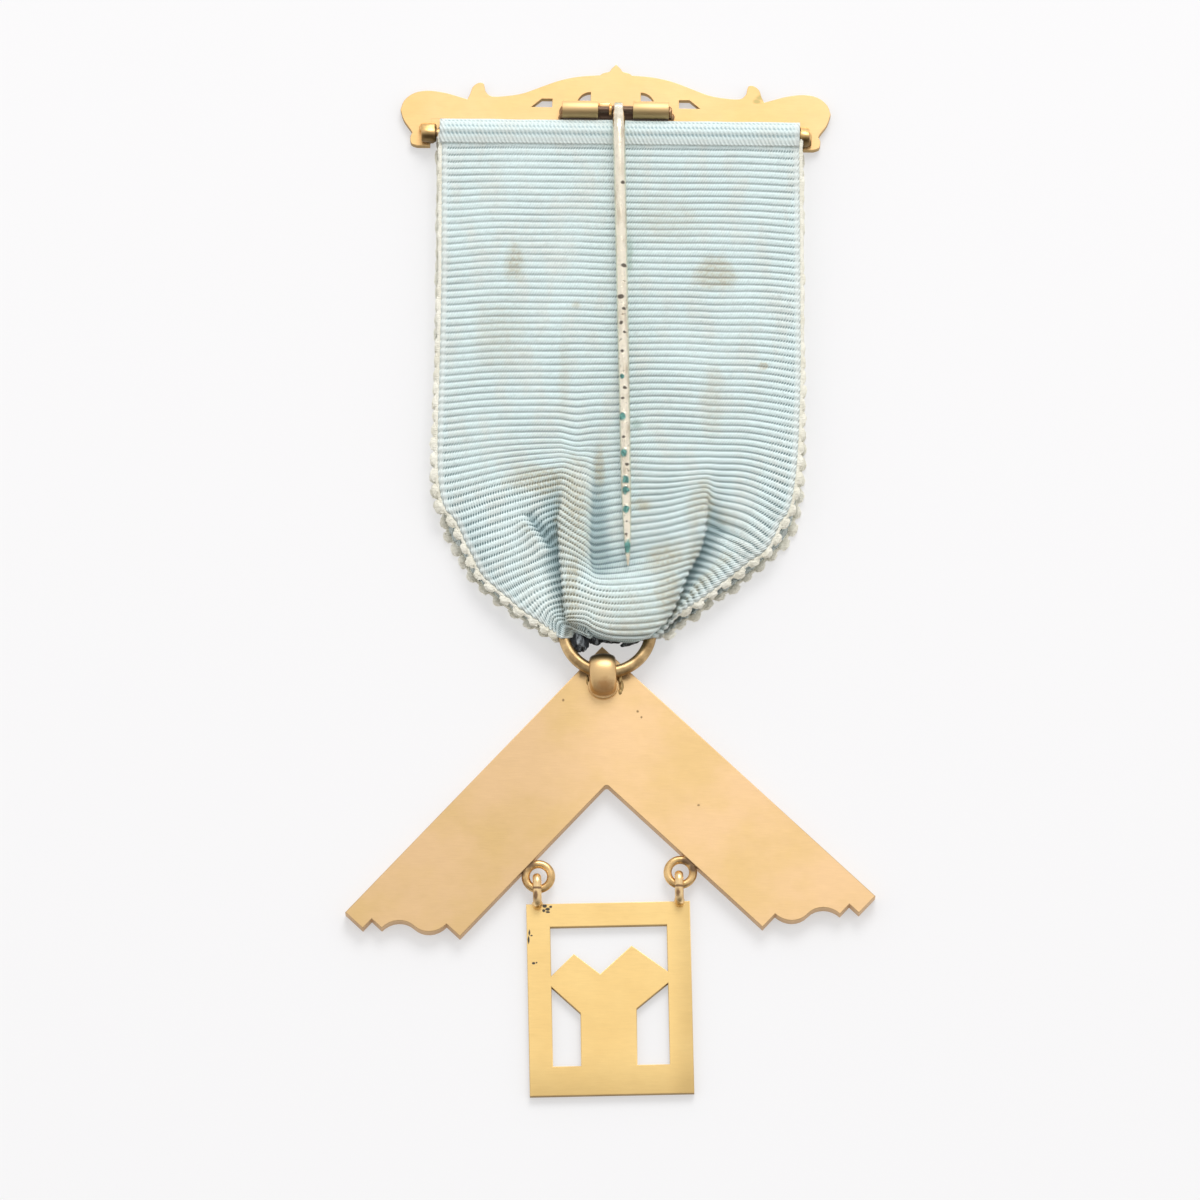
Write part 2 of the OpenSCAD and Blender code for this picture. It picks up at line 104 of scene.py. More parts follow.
def node(tree, kind, sockets=(), **settings):
    """A shader node with its settings. sockets pairs each input with a value or another node's output."""
    made = tree.nodes.new("ShaderNode" + kind)
    for key, value in settings.items():
        setattr(made, key, value)
    for key, value in dict(sockets).items():
        if isinstance(value, bpy.types.NodeSocket):
            tree.links.new(value, made.inputs[key])
        else:
            made.inputs[key].default_value = value
    return made


def link(tree, value, shader, socket):
    tree.links.new(value, shader.inputs[socket])


def calc(tree, operation, a, b=0.0, clamp=False):
    return node(tree, "Math", {0: a, 1: b}, operation=operation, use_clamp=clamp).outputs[0]


def times(tree, a, b, clamp=False):
    return calc(tree, "MULTIPLY", a, b, clamp)


def plus(tree, a, b, clamp=False):
    return calc(tree, "ADD", a, b, clamp)


def minus(tree, a, b, clamp=False):
    return calc(tree, "SUBTRACT", a, b, clamp)


def larger(tree, a, b):
    return calc(tree, "MAXIMUM", a, b)


def mixed(tree, factor, a, b, how="MIX"):
    """Two colours mixed by a factor."""
    made = node(tree, "Mix", {0: factor, 6: a, 7: b}, data_type="RGBA", blend_type=how)
    return made.outputs[2]


def stepped(tree, value, low, high, to_low=0.0, to_high=1.0):
    """A value that runs smoothly from one number to another between two limits."""
    made = node(tree, "MapRange", {0: value, 1: low, 2: high, 3: to_low, 4: to_high},
                interpolation_type="SMOOTHSTEP")
    return made.outputs[0]


def object_place(tree):
    return node(tree, "TexCoord").outputs["Object"]


def stretched(tree, place, scale, turn=0.0):
    """Coordinates turned about Z and scaled, for grain that runs one way."""
    return node(tree, "Mapping", {"Vector": place, "Rotation": (0, 0, turn), "Scale": scale}).outputs[0]


def noise_at(tree, place, scale, detail, rough=0.55):
    """Noise with features of about 1 / scale metres."""
    return node(tree, "TexNoise", {"Vector": place, "Scale": scale, "Detail": detail,
                                   "Roughness": rough}).outputs[0]


def bump(tree, shader, height):
    """Gives the shader a bump of a height in mm."""
    normal = node(tree, "Bump", {"Height": height, "Distance": MM, "Strength": 1.0}).outputs[0]
    link(tree, normal, shader, "Normal")


def spots(tree, place, marks, grain, ragged, soft):
    """A mask of oval marks with ragged edges. A mark is (x, y, reach in x, reach in y) in mm, from above."""
    wobble = times(tree, minus(tree, noise_at(tree, place, grain, 4), 0.5), 4 * ragged)
    mask = None
    for x, y, reach_x, reach_y in marks:
        offset = node(tree, "VectorMath", {0: place, 1: (x * MM, y * MM, 0)}, operation="SUBTRACT").outputs[0]
        scaled = node(tree, "VectorMath", {0: offset, 1: (1 / (reach_x * MM), 1 / (reach_y * MM), 0)},
                      operation="MULTIPLY").outputs[0]
        reach = node(tree, "VectorMath", {0: scaled}, operation="LENGTH").outputs["Value"]
        spot = stepped(tree, plus(tree, reach, wobble), 1 + soft, 1 - soft)
        mask = spot if mask is None else larger(tree, mask, spot)
    return mask


# Metals

def satin_gold(name, colour, shade, roughness, marks=(), mark_colour=None, grain_turn=0.0, falls=(),
               drift_scale=110, soft=0.3):
    """Satin gold with a faint grain, fine scratches, a drift of colour and a few dark marks.

    A fall is (axis, low, high, loss): painted shade, in which the gold darkens by a share from high to low
    along an axis, in mm."""
    material, tree, shader = new_material(name)
    place = object_place(tree)
    drift = noise_at(tree, place, drift_scale, 4, 0.6)
    body = mixed(tree, stepped(tree, drift, 0.35, 0.7), colour, shade)
    scratch_place = stretched(tree, place, (1.0, 14.0, 1.0), grain_turn)
    scratches = noise_at(tree, scratch_place, 700, 5, 0.7)
    grain = noise_at(tree, place, 9000, 2, 0.5)
    tint = plus(tree, times(tree, scratches, 0.14), 0.93)
    for axis, low, high, loss in falls:
        along = node(tree, "SeparateXYZ", {0: place}).outputs[axis]
        tint = times(tree, tint, stepped(tree, along, low * MM, high * MM, 1 - loss, 1.0))
    tone = node(tree, "CombineXYZ", {0: tint, 1: tint, 2: tint}).outputs[0]
    body = mixed(tree, 1.0, body, tone, "MULTIPLY")
    rough = plus(tree, times(tree, scratches, 0.1), roughness - 0.05)
    if marks:
        mask = spots(tree, place, marks, 1800, 0.35, soft)
        body = mixed(tree, mask, body, mark_colour)
        rough = plus(tree, rough, times(tree, mask, 0.3), clamp=True)
        link(tree, minus(tree, 1.0, times(tree, mask, 0.8)), shader, "Metallic")
    else:
        shader.inputs["Metallic"].default_value = 1.0
    link(tree, body, shader, "Base Color")
    link(tree, rough, shader, "Roughness")
    uneven = noise_at(tree, place, 260, 2, 0.5)
    relief = plus(tree, times(tree, uneven, 0.03), times(tree, grain, 0.0015))
    bump(tree, shader, plus(tree, times(tree, scratches, 0.004), relief))
    return material


def pin_metal():
    """Worn white metal: dull and pitted, with green spots of verdigris and dark specks."""
    material, tree, shader = new_material("pin_white_metal")
    place = object_place(tree)
    long_grain = stretched(tree, place, (3.0, 1.0, 3.0))
    blotch = noise_at(tree, long_grain, 420, 5, 0.65)
    body = mixed(tree, stepped(tree, blotch, 0.44, 0.72), (0.93, 0.86, 0.70, 1), (0.62, 0.54, 0.41, 1))
    pits = noise_at(tree, place, 2600, 3, 0.6)
    along = node(tree, "SeparateXYZ", {0: place}).outputs["Y"]
    pitted = times(tree, stepped(tree, pits, 0.6, 0.7), stepped(tree, along, -12 * MM, -24 * MM))
    body = mixed(tree, pitted, body, (0.34, 0.28, 0.2, 1))
    green = spots(tree, place, PIN_GREEN, 2200, 0.3, 0.3)
    dark = spots(tree, place, PIN_DARK, 2200, 0.3, 0.3)
    body = mixed(tree, dark, body, (0.12, 0.10, 0.075, 1))
    crust = noise_at(tree, place, 3500, 4, 0.6)
    verdigris = mixed(tree, stepped(tree, crust, 0.35, 0.65), (0.04, 0.12, 0.11, 1), (0.16, 0.42, 0.36, 1))
    body = mixed(tree, green, body, verdigris)
    cover = larger(tree, green, dark)
    link(tree, body, shader, "Base Color")
    link(tree, minus(tree, 1.0, cover, clamp=True), shader, "Metallic")
    link(tree, plus(tree, times(tree, blotch, 0.5), times(tree, cover, 0.4)), shader, "Roughness")
    height = plus(tree, times(tree, blotch, 0.08), times(tree, green, 0.05))
    bump(tree, shader, minus(tree, height, times(tree, pitted, 0.03)))
    return material


# Metal pieces

SHARP_ANGLE = math.radians(35)
MERGE = 0.002 * MM

# How far the middle of a rounded edge lies from each of its faces, as a share of its radius
EDGE_MIDDLE = 0.293

BAR_THICKNESS = 0.9
SQUARE_THICKNESS = 1.7
PLATE_THICKNESS = 0.85

# The hinge on the bar: two tubes over a strip, round a wire along X
HINGE_Z = 2.3
WIRE_RADIUS = 0.35
TUBE_RADIUS = 0.9
TUBE_BORE = 0.37
TUBE_INNER_END = 1.8
TUBE_OUTER_END = 5.5
STRIP_HALF_WIDTH = 0.72
STRIP_TOP = 1.47

# The eyes that hold the ribbon's rod: (outer end, inner end) along X
ROD_EYES = [(-20.05, -18.5), (20.05, 18.95)]
ROD_EYE_RADIUS = 1.0
ROD_EYE_BORE = 0.42
ROD_EYE_SEED = 5

# The fillet between the bar and its left foot
FOOT_WEB = [(-19.3, -0.3), (-17.6, -0.3), (-17.65, -1.0), (-17.95, -1.5), (-18.5, -1.9), (-19.3, -2.1)]

# The pin in the plane of its length: (y, z, half width, half height)
PIN_STATIONS = [(0.35, 2.84, 0.34, 0.1), (0.0, 2.92, 0.44, 0.2), (-0.5, 3.04, 0.56, 0.30),
                (-1.0, 3.29, 0.64, 0.42), (-1.5, 3.58, 0.65, 0.52), (-2.0, 3.80, 0.64, 0.57),
                (-2.6, 3.89, 0.63, 0.59), (-6, 3.9, 0.63, 0.59), (-14, 3.9, 0.61, 0.58),
                (-22, 3.9, 0.59, 0.57), (-30, 3.9, 0.56, 0.55), (-37, 3.9, 0.54, 0.53),
                (-41, 3.9, 0.51, 0.5), (-44, 3.9, 0.44, 0.44), (-46.2, 3.9, 0.35, 0.35),
                (-47.8, 3.9, 0.23, 0.23), (-48.7, 3.9, 0.12, 0.12), (-49, 3.9, 0.05, 0.05)]
PIN_X = 0.3
PIN_LEAN = math.tan(math.radians(1.78))
PIN_EYE_RADIUS = 0.75
PIN_EYE_BORE = 0.4
PIN_EYE_HALF_WIDTH = 0.5

# The square's own frame: its outer corner is the origin and its legs open downwards
SQUARE_FRAME = Matrix.Translation((-0.71, -56.93, 0)) @ Matrix.Rotation(math.radians(2.5), 4, "Z")
BAIL_Y = -2.85
BAIL_HALF_WIDTH = 1.35
# The bail's inner and outer arch: (reach above its middle, reach below, height)
BAIL_INNER = (1.1, 1.1, 1.5)
BAIL_OUTER = (2.0, 2.4, 2.28)
EYE_RING_X = 7.2
EYE_RING_Y = -23.704
EYE_RING_Z = 1.21
EYE_RING_RADIUS = 1.29
EYE_RING_WIRE = 0.84

# The plate's own frame: the middle of its top edge is the origin
PLATE_FRAME = (SQUARE_FRAME @ Matrix.Translation((0, EYE_RING_Y, 0))
               @ Matrix.Rotation(math.radians(-0.6), 4, "Z") @ Matrix.Translation((-0.2, -2.83, 0)))
LOOP_X = (-7.15, 7.25)
LOOP_RADIUS = 0.8
LOOP_WIRE = 0.7
LOOP_LOW = 0.55
LOOP_LENGTH = 1.4

# Lumps of solder: (place, size). The bail's are in the square's frame
HINGE_SOLDER = [((-5.6, -0.1, 1.5), (0.22, 0.62, 0.5)), ((-5.72, -0.55, 1.1), (0.2, 0.3, 0.2)),
                ((5.62, 0.0, 1.55), (0.24, 0.6, 0.55)), ((5.85, -0.35, 1.1), (0.25, 0.34, 0.2))]
ROD_EYE_SOLDER = [((-19.75, -1.9, 1.3), (0.5, 0.5, 0.5)), ((-18.9, -3.15, 1.3), (0.35, 0.4, 0.5)),
                  ((19.9, -3.0, 1.2), (0.4, 0.45, 0.45))]
BAIL_SOLDER = [((1.7, -3.4, SQUARE_THICKNESS), (0.24, 0.6, 0.2)),
               ((1.85, -4.2, SQUARE_THICKNESS), (0.22, 0.55, 0.14)),
               ((1.7, -4.8, SQUARE_THICKNESS), (0.18, 0.3, 0.12)),
               ((-1.58, -3.5, SQUARE_THICKNESS), (0.16, 0.5, 0.14))]
# Lumps round an eye ring: (angle in degrees, size)
EYE_RING_SOLDER = [(45, 0.46), (68, 0.36), (24, 0.34)]

# Marks on the metal: (x, y, reach in x, reach in y)
# A painted brown reflection on the bail, dark patches where the eye rings meet the square, and painted shade
# and a dark reflection on the loops
BAIL_REFLECTION = [(-0.4, -61.45, 0.8, 0.6)]
EYE_MARKS = [(-8.05, -79.7, 0.75, 0.55), (-8.7, -80.4, 0.5, 0.6), (8.3, -79.2, 0.7, 0.4),
             (8.8, -79.9, 0.35, 0.5)]
# Painted shade and a dark reflection on the plate's loops
LOOP_PAINTED_SHADE = [(-6.95, -82.3, 0.6, 0.13), (7.45, -81.9, 0.6, 0.13), (-7.1, -83.1, 0.22, 0.5),
              (7.3, -82.6, 0.22, 0.45)]
# Verdigris and specks on the pin
PIN_GREEN = [(1.1, -33.3, 0.36, 0.4), (1.3, -37.2, 0.34, 0.45), (1.5, -40.0, 0.34, 0.4),
             (1.5, -41.1, 0.38, 0.42), (1.55, -43.1, 0.36, 0.36), (1.75, -47.0, 0.4, 0.7),
             (1.0, -29.1, 0.22, 0.25), (0.3, 0.7, 0.62, 0.14), (0.92, 0.1, 0.12, 0.55)]
PIN_DARK = [(0.85, -8.4, 0.22, 0.18), (1.05, -17.3, 0.3, 0.2), (0.75, -20.6, 0.35, 0.25),
            (1.1, -21.9, 0.22, 0.16), (0.85, -23.4, 0.2, 0.2), (1.2, -24.4, 0.16, 0.14),
            (1.0, -26.4, 0.18, 0.14), (1.3, -30.3, 0.2, 0.16), (1.1, -31.4, 0.18, 0.12),
            (1.25, -35.5, 0.18, 0.14), (1.65, -44.4, 0.09, 0.09), (1.6, -38.4, 0.2, 0.16),
            (1.62, -45.7, 0.16, 0.1)]
# Dark marks on the plate, the bar and the square
PLATE_MARKS = [(-6.2, -83.85, 0.24, 0.26), (-5.9, -84.2, 0.26, 0.16), (-5.6, -83.95, 0.16, 0.14),
               (-6.3, -84.35, 0.16, 0.16), (-5.9, -84.5, 0.2, 0.1), (-7.7, -86.65, 0.11, 0.32),
               (-7.48, -86.95, 0.15, 0.1), (-7.77, -87.4, 0.1, 0.36), (-7.25, -89.8, 0.15, 0.11),
               (-6.93, -89.75, 0.08, 0.08)]
BAR_MARKS = [(15.0, 1.9, 0.5, 0.3), (14.6, 1.5, 0.4, 0.25)]
# The square's first mark is painted shade on its corner behind the bail; two dark patches lie beside the
# strap, and the rest are small specks.
SQUARE_SHADE_AND_MARKS = [(-0.75, -57.6, 1.5, 1.5), (-2.5, -59.7, 0.45, 0.5), (1.6, -59.8, 0.5, 0.5),
                (-4.6, -62.6, 0.12, 0.14), (-5.1, -61.6, 0.1, 0.12), (3.0, -63.7, 0.12, 0.12),
                (3.4, -64.3, 0.1, 0.12), (9.3, -73.4, 0.14, 0.1)]


def clamped(value):
    return min(max(value, 0), 1)


def of_kind(geom, kind):
    return [part for part in geom if isinstance(part, kind)]


def crease_edges(bm):
    """Makes the edges between steep faces sharp."""
    for edge in bm.edges:
        edge.smooth = len(edge.link_faces) == 2 and edge.calc_face_angle() < SHARP_ANGLE


def shade_flat_metal(bm):
    """Smooth walls with sharp creases, and flat faces where the metal is flat."""
    for face in bm.faces:
        face.smooth = abs(face.normal.z) < 0.995
    crease_edges(bm)


def new_object(name, bm, materials):
    """Makes an object of a bmesh, which is used up."""
    mesh = bpy.data.meshes.new(name)
    bm.to_mesh(mesh)
    bm.free()
    if "custom_normal" in mesh.attributes:
        mesh.attributes.remove(mesh.attributes["custom_normal"])
    for material in materials:
        mesh.materials.append(material)
    made = bpy.data.objects.new(name, mesh)
    bpy.context.collection.objects.link(made)
    return made


def add_piece(name, bm, materials, node_name, body="root"):
    """Makes a piece that rides on a body and stands for a node."""
    piece = new_object(name, bm, materials)
    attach(piece, body)
    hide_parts(node_name)
    return piece


def add_round_piece(name, bm, material, node_name, body="root"):
    """Makes a piece with smooth faces and sharp creases."""
    bmesh.ops.recalc_face_normals(bm, faces=bm.faces)
    for face in bm.faces:
        face.smooth = True
    crease_edges(bm)
    return add_piece(name, bm, [material], node_name, body)


def merged_copy(node_name):
    """A copy of a solid with its loose triangles merged."""
    bm = bmesh.new()
    bm.from_mesh(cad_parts[node_name].data)
    bmesh.ops.remove_doubles(bm, verts=bm.verts, dist=MERGE)
    return bm


def rounded_slab(node_name, name, thickness, edge, materials):
    """A flat piece cut to a solid's outline, rounded at the top. materials is (face, wall, edge)."""
    bm = merged_copy(node_name)
    others = [face for face in bm.faces if face.normal.z > -0.99 or face.calc_center_median().z > 0.01 * MM]
    bmesh.ops.delete(bm, geom=others, context="FACES")
    bmesh.ops.reverse_faces(bm, faces=bm.faces)
    raised = bmesh.ops.extrude_face_region(bm, geom=bm.faces[:] + bm.edges[:], use_keep_orig=True)["geom"]
    bmesh.ops.translate(bm, vec=(0, 0, (thickness - edge) * MM), verts=of_kind(raised, BMVert))
    bmesh.ops.recalc_face_normals(bm, faces=bm.faces)
    for face in bm.faces:
        face.material_index = 1 if abs(face.normal.z) < 0.5 else 0
    top = [face for face in bm.faces if face.normal.z > 0.5]
    for inset, rise in ((EDGE_MIDDLE, 1 - EDGE_MIDDLE), (1 - EDGE_MIDDLE, EDGE_MIDDLE)):
        rim = bmesh.ops.inset_region(bm, faces=top, thickness=inset * edge * MM, use_even_offset=True)
        for face in rim["faces"]:
            face.material_index = 2
        corners = {corner for face in top for corner in face.verts}
        bmesh.ops.translate(bm, vec=(0, 0, rise * edge * MM), verts=list(corners))
    bm.normal_update()
    shade_flat_metal(bm)
    for face in bm.faces:
        face.smooth = face.smooth or face.material_index == 2
    add_piece(name, bm, materials, node_name)


def loop_of(bm, points):
    """A closed loop of edges through some points in mm. Returns its vertices and its edges."""
    verts = [bm.verts.new(Vector(point) * MM) for point in points]
    return verts, [bm.edges.new(pair) for pair in zip(verts, verts[1:] + verts[:1])]


def angles_round(count):
    return [math.tau * k / count for k in range(count)]


def add_tube(bm, ends, radius, bore, y, z, edge=0.08):
    """A tube along X between two ends, with rounded rims."""
    low, high = ends
    soft = EDGE_MIDDLE * edge
    profile = [(low, bore), (low, radius - edge), (low + soft, radius - soft), (low + edge, radius),
               (high - edge, radius), (high - soft, radius - soft), (high, radius - edge), (high, bore)]
    verts, edges = loop_of(bm, [(x, y, z + r) for x, r in profile])
    bmesh.ops.spin(bm, geom=verts + edges, cent=Vector((0, y, z)) * MM, axis=(1, 0, 0),
                   angle=math.tau, steps=48, use_merge=True)


def bridge_along(bm, loops):
    for first, second in zip(loops, loops[1:]):
        bmesh.ops.bridge_loops(bm, edges=first + second)


def add_swept(bm, stations, side, sides=24):
    """A rod through some stations with closed ends. A station is (centre, half width, half height) in mm."""
    side = Vector(side)
    centres = [Vector(station[0]) for station in stations]
    loops = []
    for i, (_, half_width, half_height) in enumerate(stations):
        along = (centres[min(i + 1, len(centres) - 1)] - centres[max(i - 1, 0)]).normalized()
        up = along.cross(side).normalized()
        section = [centres[i] + side * half_width * math.cos(a) + up * half_height * math.sin(a)
                   for a in angles_round(sides)]
        loops.append(loop_of(bm, section)[1])
    bridge_along(bm, loops)
    for end in (loops[0], loops[-1]):
        bmesh.ops.contextual_create(bm, geom=end)


def domed_rod(half_length, radius, y, z):
    """Stations of a rod along X with domed ends."""
    turns = [math.radians(step) for step in (4, 20, 38, 56, 74, 90)]
    left = [((radius * (1 - math.cos(a)) - half_length, y, z), radius * math.sin(a), radius * math.sin(a))
            for a in turns]
    right = [((-centre[0], y, z), width, height) for centre, width, height in reversed(left)]
    return left + right


def add_box(bm, low, high, edge):
    """A block between two corners with rounded edges."""
    made = bmesh.ops.create_cube(bm, size=1)["verts"]
    size = Vector(high) - Vector(low)
    bmesh.ops.scale(bm, vec=size * MM, verts=made)
    bmesh.ops.translate(bm, vec=(Vector(high) + Vector(low)) / 2 * MM, verts=made)
    edges = {e for v in made for e in v.link_edges}
    bmesh.ops.bevel(bm, geom=list(edges), offset=edge * MM, segments=3, profile=0.5, affect="EDGES",
                    material=-1, clamp_overlap=True)


def put_ball(bm, ball, place, size, turn):
    """Gives the vertices of a ball of radius 1 their size, turn and place."""
    bmesh.ops.scale(bm, vec=Vector(size) * MM, verts=ball)
    bmesh.ops.rotate(bm, matrix=Matrix.Rotation(turn, 3, "Z"), verts=ball)
    bmesh.ops.translate(bm, vec=Vector(place) * MM, verts=ball)


def add_lump(bm, place, size, seed, turn=0.0):
    """A lump of solder: an uneven flattened ball."""
    ball = bmesh.ops.create_icosphere(bm, subdivisions=3, radius=1)["verts"]
    for v in ball:
        v.co *= 1 + 0.22 * noise.noise(v.co * 1.6 + Vector((seed * 7.3, 0, 0)))
    put_ball(bm, ball, place, size, turn)


def add_wire_ring(bm, centre, radius, wire):
    """A flat ring of round wire."""
    section = [Vector(centre) + Vector((radius + wire / 2 * math.cos(a), 0, wire / 2 * math.sin(a)))
               for a in angles_round(20)]
    verts, edges = loop_of(bm, section)
    bmesh.ops.spin(bm, geom=verts + edges, cent=Vector(centre) * MM, axis=(0, 0, 1),
                   angle=math.tau, steps=64, use_merge=True)


def place_in(bm, own_frame):
    """Moves a piece from its own frame, in mm, to the jewel's."""
    move = own_frame.copy()
    move.translation *= MM
    bmesh.ops.transform(bm, matrix=move, verts=bm.verts)


def make_hinge_tubes(material, solder):
    bm = bmesh.new()
    for side in (-1, 1):
        ends = sorted((side * TUBE_INNER_END, side * TUBE_OUTER_END))
        add_tube(bm, ends, TUBE_RADIUS, TUBE_BORE, 0, HINGE_Z)
    add_round_piece("hinge_tubes", bm, material, "top_bar")
    bm = bmesh.new()
    for place, size in HINGE_SOLDER:
        add_lump(bm, place, size, place[0])
    add_round_piece("hinge_solder", bm, solder, "top_bar")


def make_hinge_seat(dark, gold, copper):
    """The strip under the tubes, a bright block in the gap left of the pin, and a washer beside its eye."""
    bm = bmesh.new()
    add_box(bm, (-TUBE_OUTER_END, -STRIP_HALF_WIDTH, BAR_THICKNESS - 0.02),
            (TUBE_OUTER_END, STRIP_HALF_WIDTH, STRIP_TOP), 0.08)
    add_round_piece("hinge_strip", bm, dark, "top_bar")
    bm = bmesh.new()
    add_box(bm, (-TUBE_INNER_END + 0.05, 0.28, STRIP_TOP - 0.2), (-0.5, 0.86, STRIP_TOP + 0.55), 0.12)
    add_round_piece("hinge_block", bm, gold, "top_bar")
    bm = bmesh.new()
    add_tube(bm, (-0.68, -0.4), 0.58, 0.34, 0, HINGE_Z, 0.06)
    add_round_piece("hinge_washer", bm, copper, "hinge_rivet")


def make_rods(wire, rod):
    bm = bmesh.new()
    add_swept(bm, domed_rod(TUBE_OUTER_END, WIRE_RADIUS, 0, HINGE_Z), (0, 1, 0))
    add_round_piece("hinge_wire", bm, wire, "hinge_rivet")
    bm = bmesh.new()
    add_swept(bm, domed_rod(ROD_EYES[1][0], ROD_RADIUS, ROD_Y, ROD_Z), (0, 1, 0))
    add_round_piece("rod", bm, rod, "ribbon_rod")


def make_rod_eyes(material, dark):
    """The rough eyes on the bar's feet, with a dark collar at the inner end of each."""
    eyes = bmesh.new()
    collars = bmesh.new()
    for outer, inner in ROD_EYES:
        ends = sorted((outer, inner))
        add_tube(eyes, ends, ROD_EYE_RADIUS, ROD_EYE_BORE, ROD_Y, ROD_Z, 0.22)
        add_lump(eyes, (sum(ends) / 2, ROD_Y, BAR_THICKNESS - 0.05), (0.8, 0.95, 0.42), ends[0])
        side = math.copysign(1, outer)
        collar_ends = sorted((inner - side * 0.04, inner + side * 0.12))
        add_tube(collars, collar_ends, 0.72, ROD_EYE_BORE - 0.01, ROD_Y - 0.06, ROD_Z - 0.05, 0.02)
    # Without a seed this noise would change from run to run
    noise.seed_set(ROD_EYE_SEED)
    for v in eyes.verts:
        v.co += noise.noise_vector(v.co * 1300) * 0.11 * MM
    for place, size in ROD_EYE_SOLDER:
        add_lump(eyes, place, size, place[1])
    add_round_piece("rod_eyes", eyes, material, "top_bar")
    add_round_piece("rod_eye_collars", collars, dark, "top_bar")


def make_foot_web(material):
    bm = bmesh.new()
    edges = loop_of(bm, [(x, y, 0.02) for x, y in FOOT_WEB])[1]
    face = bmesh.ops.contextual_create(bm, geom=edges)["faces"]
    raised = bmesh.ops.extrude_face_region(bm, geom=face)["geom"]
    bmesh.ops.translate(bm, vec=(0, 0, (BAR_THICKNESS - 0.03) * MM), verts=of_kind(raised, BMVert))
    bmesh.ops.recalc_face_normals(bm, faces=bm.faces)
    shade_flat_metal(bm)
    add_piece("foot_web", bm, [material], "top_bar")


def make_jump_ring():
    material = satin_gold("ring_gold_aged", (0.74, 0.52, 0.26, 1), (0.34, 0.22, 0.10, 1), 0.36,
                          drift_scale=480)
    bm = merged_copy("suspension_ring")
    crease_edges(bm)
    for face in bm.faces:
        face.smooth = True
    add_piece("jump_ring", bm, [material], "suspension_ring")


def make_pin():
    """The pin: a wire, flattened at its root and rolled round the hinge wire."""
    bm = bmesh.new()
    add_tube(bm, (PIN_X - PIN_EYE_HALF_WIDTH, PIN_X + PIN_EYE_HALF_WIDTH), PIN_EYE_RADIUS, PIN_EYE_BORE,
             0, HINGE_Z, 0.2)
    add_swept(bm, [((PIN_X - y * PIN_LEAN, y, z), w, h) for y, z, w, h in PIN_STATIONS], (1, 0, 0), 28)
    for v in bm.verts:
        bent = noise.noise(Vector((0, v.co.y * 90, 0))) * 0.03 * MM
        v.co.x += bent * clamped(-v.co.y / (4 * MM))
    add_round_piece("pin_wire", bm, pin_metal(), "brooch_pin", "pin")


def bail_section(a):
    """The bail's half-round section at an angle of its arch, as points in the square's frame."""
    lower = a > math.pi / 2
    inner_y = BAIL_Y + BAIL_INNER[lower] * math.cos(a)
    inner_z = SQUARE_THICKNESS + BAIL_INNER[2] * math.sin(a) ** 0.8
    outer_y = BAIL_Y + BAIL_OUTER[lower] * math.cos(a)
    outer_z = SQUARE_THICKNESS + BAIL_OUTER[2] * math.sin(a) ** (0.55 if lower else 0.8)
    section = [(-BAIL_HALF_WIDTH * 0.9, inner_y, inner_z), (BAIL_HALF_WIDTH * 0.9, inner_y, inner_z)]
    for step in range(15):
        turn = math.pi * step / 14
        share = 0.12 + 0.88 * math.sin(turn) ** 0.6
        section.append((BAIL_HALF_WIDTH * math.cos(turn), inner_y + (outer_y - inner_y) * share,
                        inner_z + (outer_z - inner_z) * share))
    return section


def make_bail(material, solder):
    """A half-round strap that arches over the ring down to a rounded end, in a thin raised rim."""
    bm = bmesh.new()
    bridge_along(bm, [loop_of(bm, bail_section(math.pi * k / 36))[1] for k in range(37)])
    foot = bmesh.ops.create_circle(bm, cap_ends=True, radius=1, segments=48)["verts"]
    for v in foot:
        v.co.x *= (BAIL_HALF_WIDTH + 0.22) * MM
        v.co.y = (v.co.y * (1.55 if v.co.y < 0 else 0.9) - 4.0) * MM
        v.co.z = (SQUARE_THICKNESS - 0.02) * MM
    foot_face = [face for face in bm.faces if all(v in foot for v in face.verts)]
    lifted = bmesh.ops.extrude_face_region(bm, geom=foot_face)["geom"]
    bmesh.ops.translate(bm, vec=(0, 0, 0.32 * MM), verts=of_kind(lifted, BMVert))
    bmesh.ops.inset_region(bm, faces=of_kind(lifted, BMFace), thickness=0.07 * MM, depth=0.06 * MM,
                           use_even_offset=True)
    place_in(bm, SQUARE_FRAME)
    add_round_piece("bail", bm, material, "square")
    bm = bmesh.new()
    for place, size in BAIL_SOLDER:
        add_lump(bm, place, size, place[1])
    place_in(bm, SQUARE_FRAME)
    add_round_piece("bail_solder", bm, solder, "square")


def make_eye_rings(material):
    bm = bmesh.new()
    for side in (-1, 1):
        centre = Vector((side * EYE_RING_X, EYE_RING_Y, EYE_RING_Z))
        add_wire_ring(bm, centre, EYE_RING_RADIUS, EYE_RING_WIRE)
        for turn, size in EYE_RING_SOLDER:
            a = math.radians(turn if side > 0 else 180 - turn)
            reach = EYE_RING_RADIUS + 0.36
            place = centre + Vector((reach * math.cos(a), reach * math.sin(a), -0.02))
            add_lump(bm, place, (size, size * 0.8, 0.4), turn + side, a)
    place_in(bm, SQUARE_FRAME)
    add_round_piece("eye_rings", bm, material, "square")


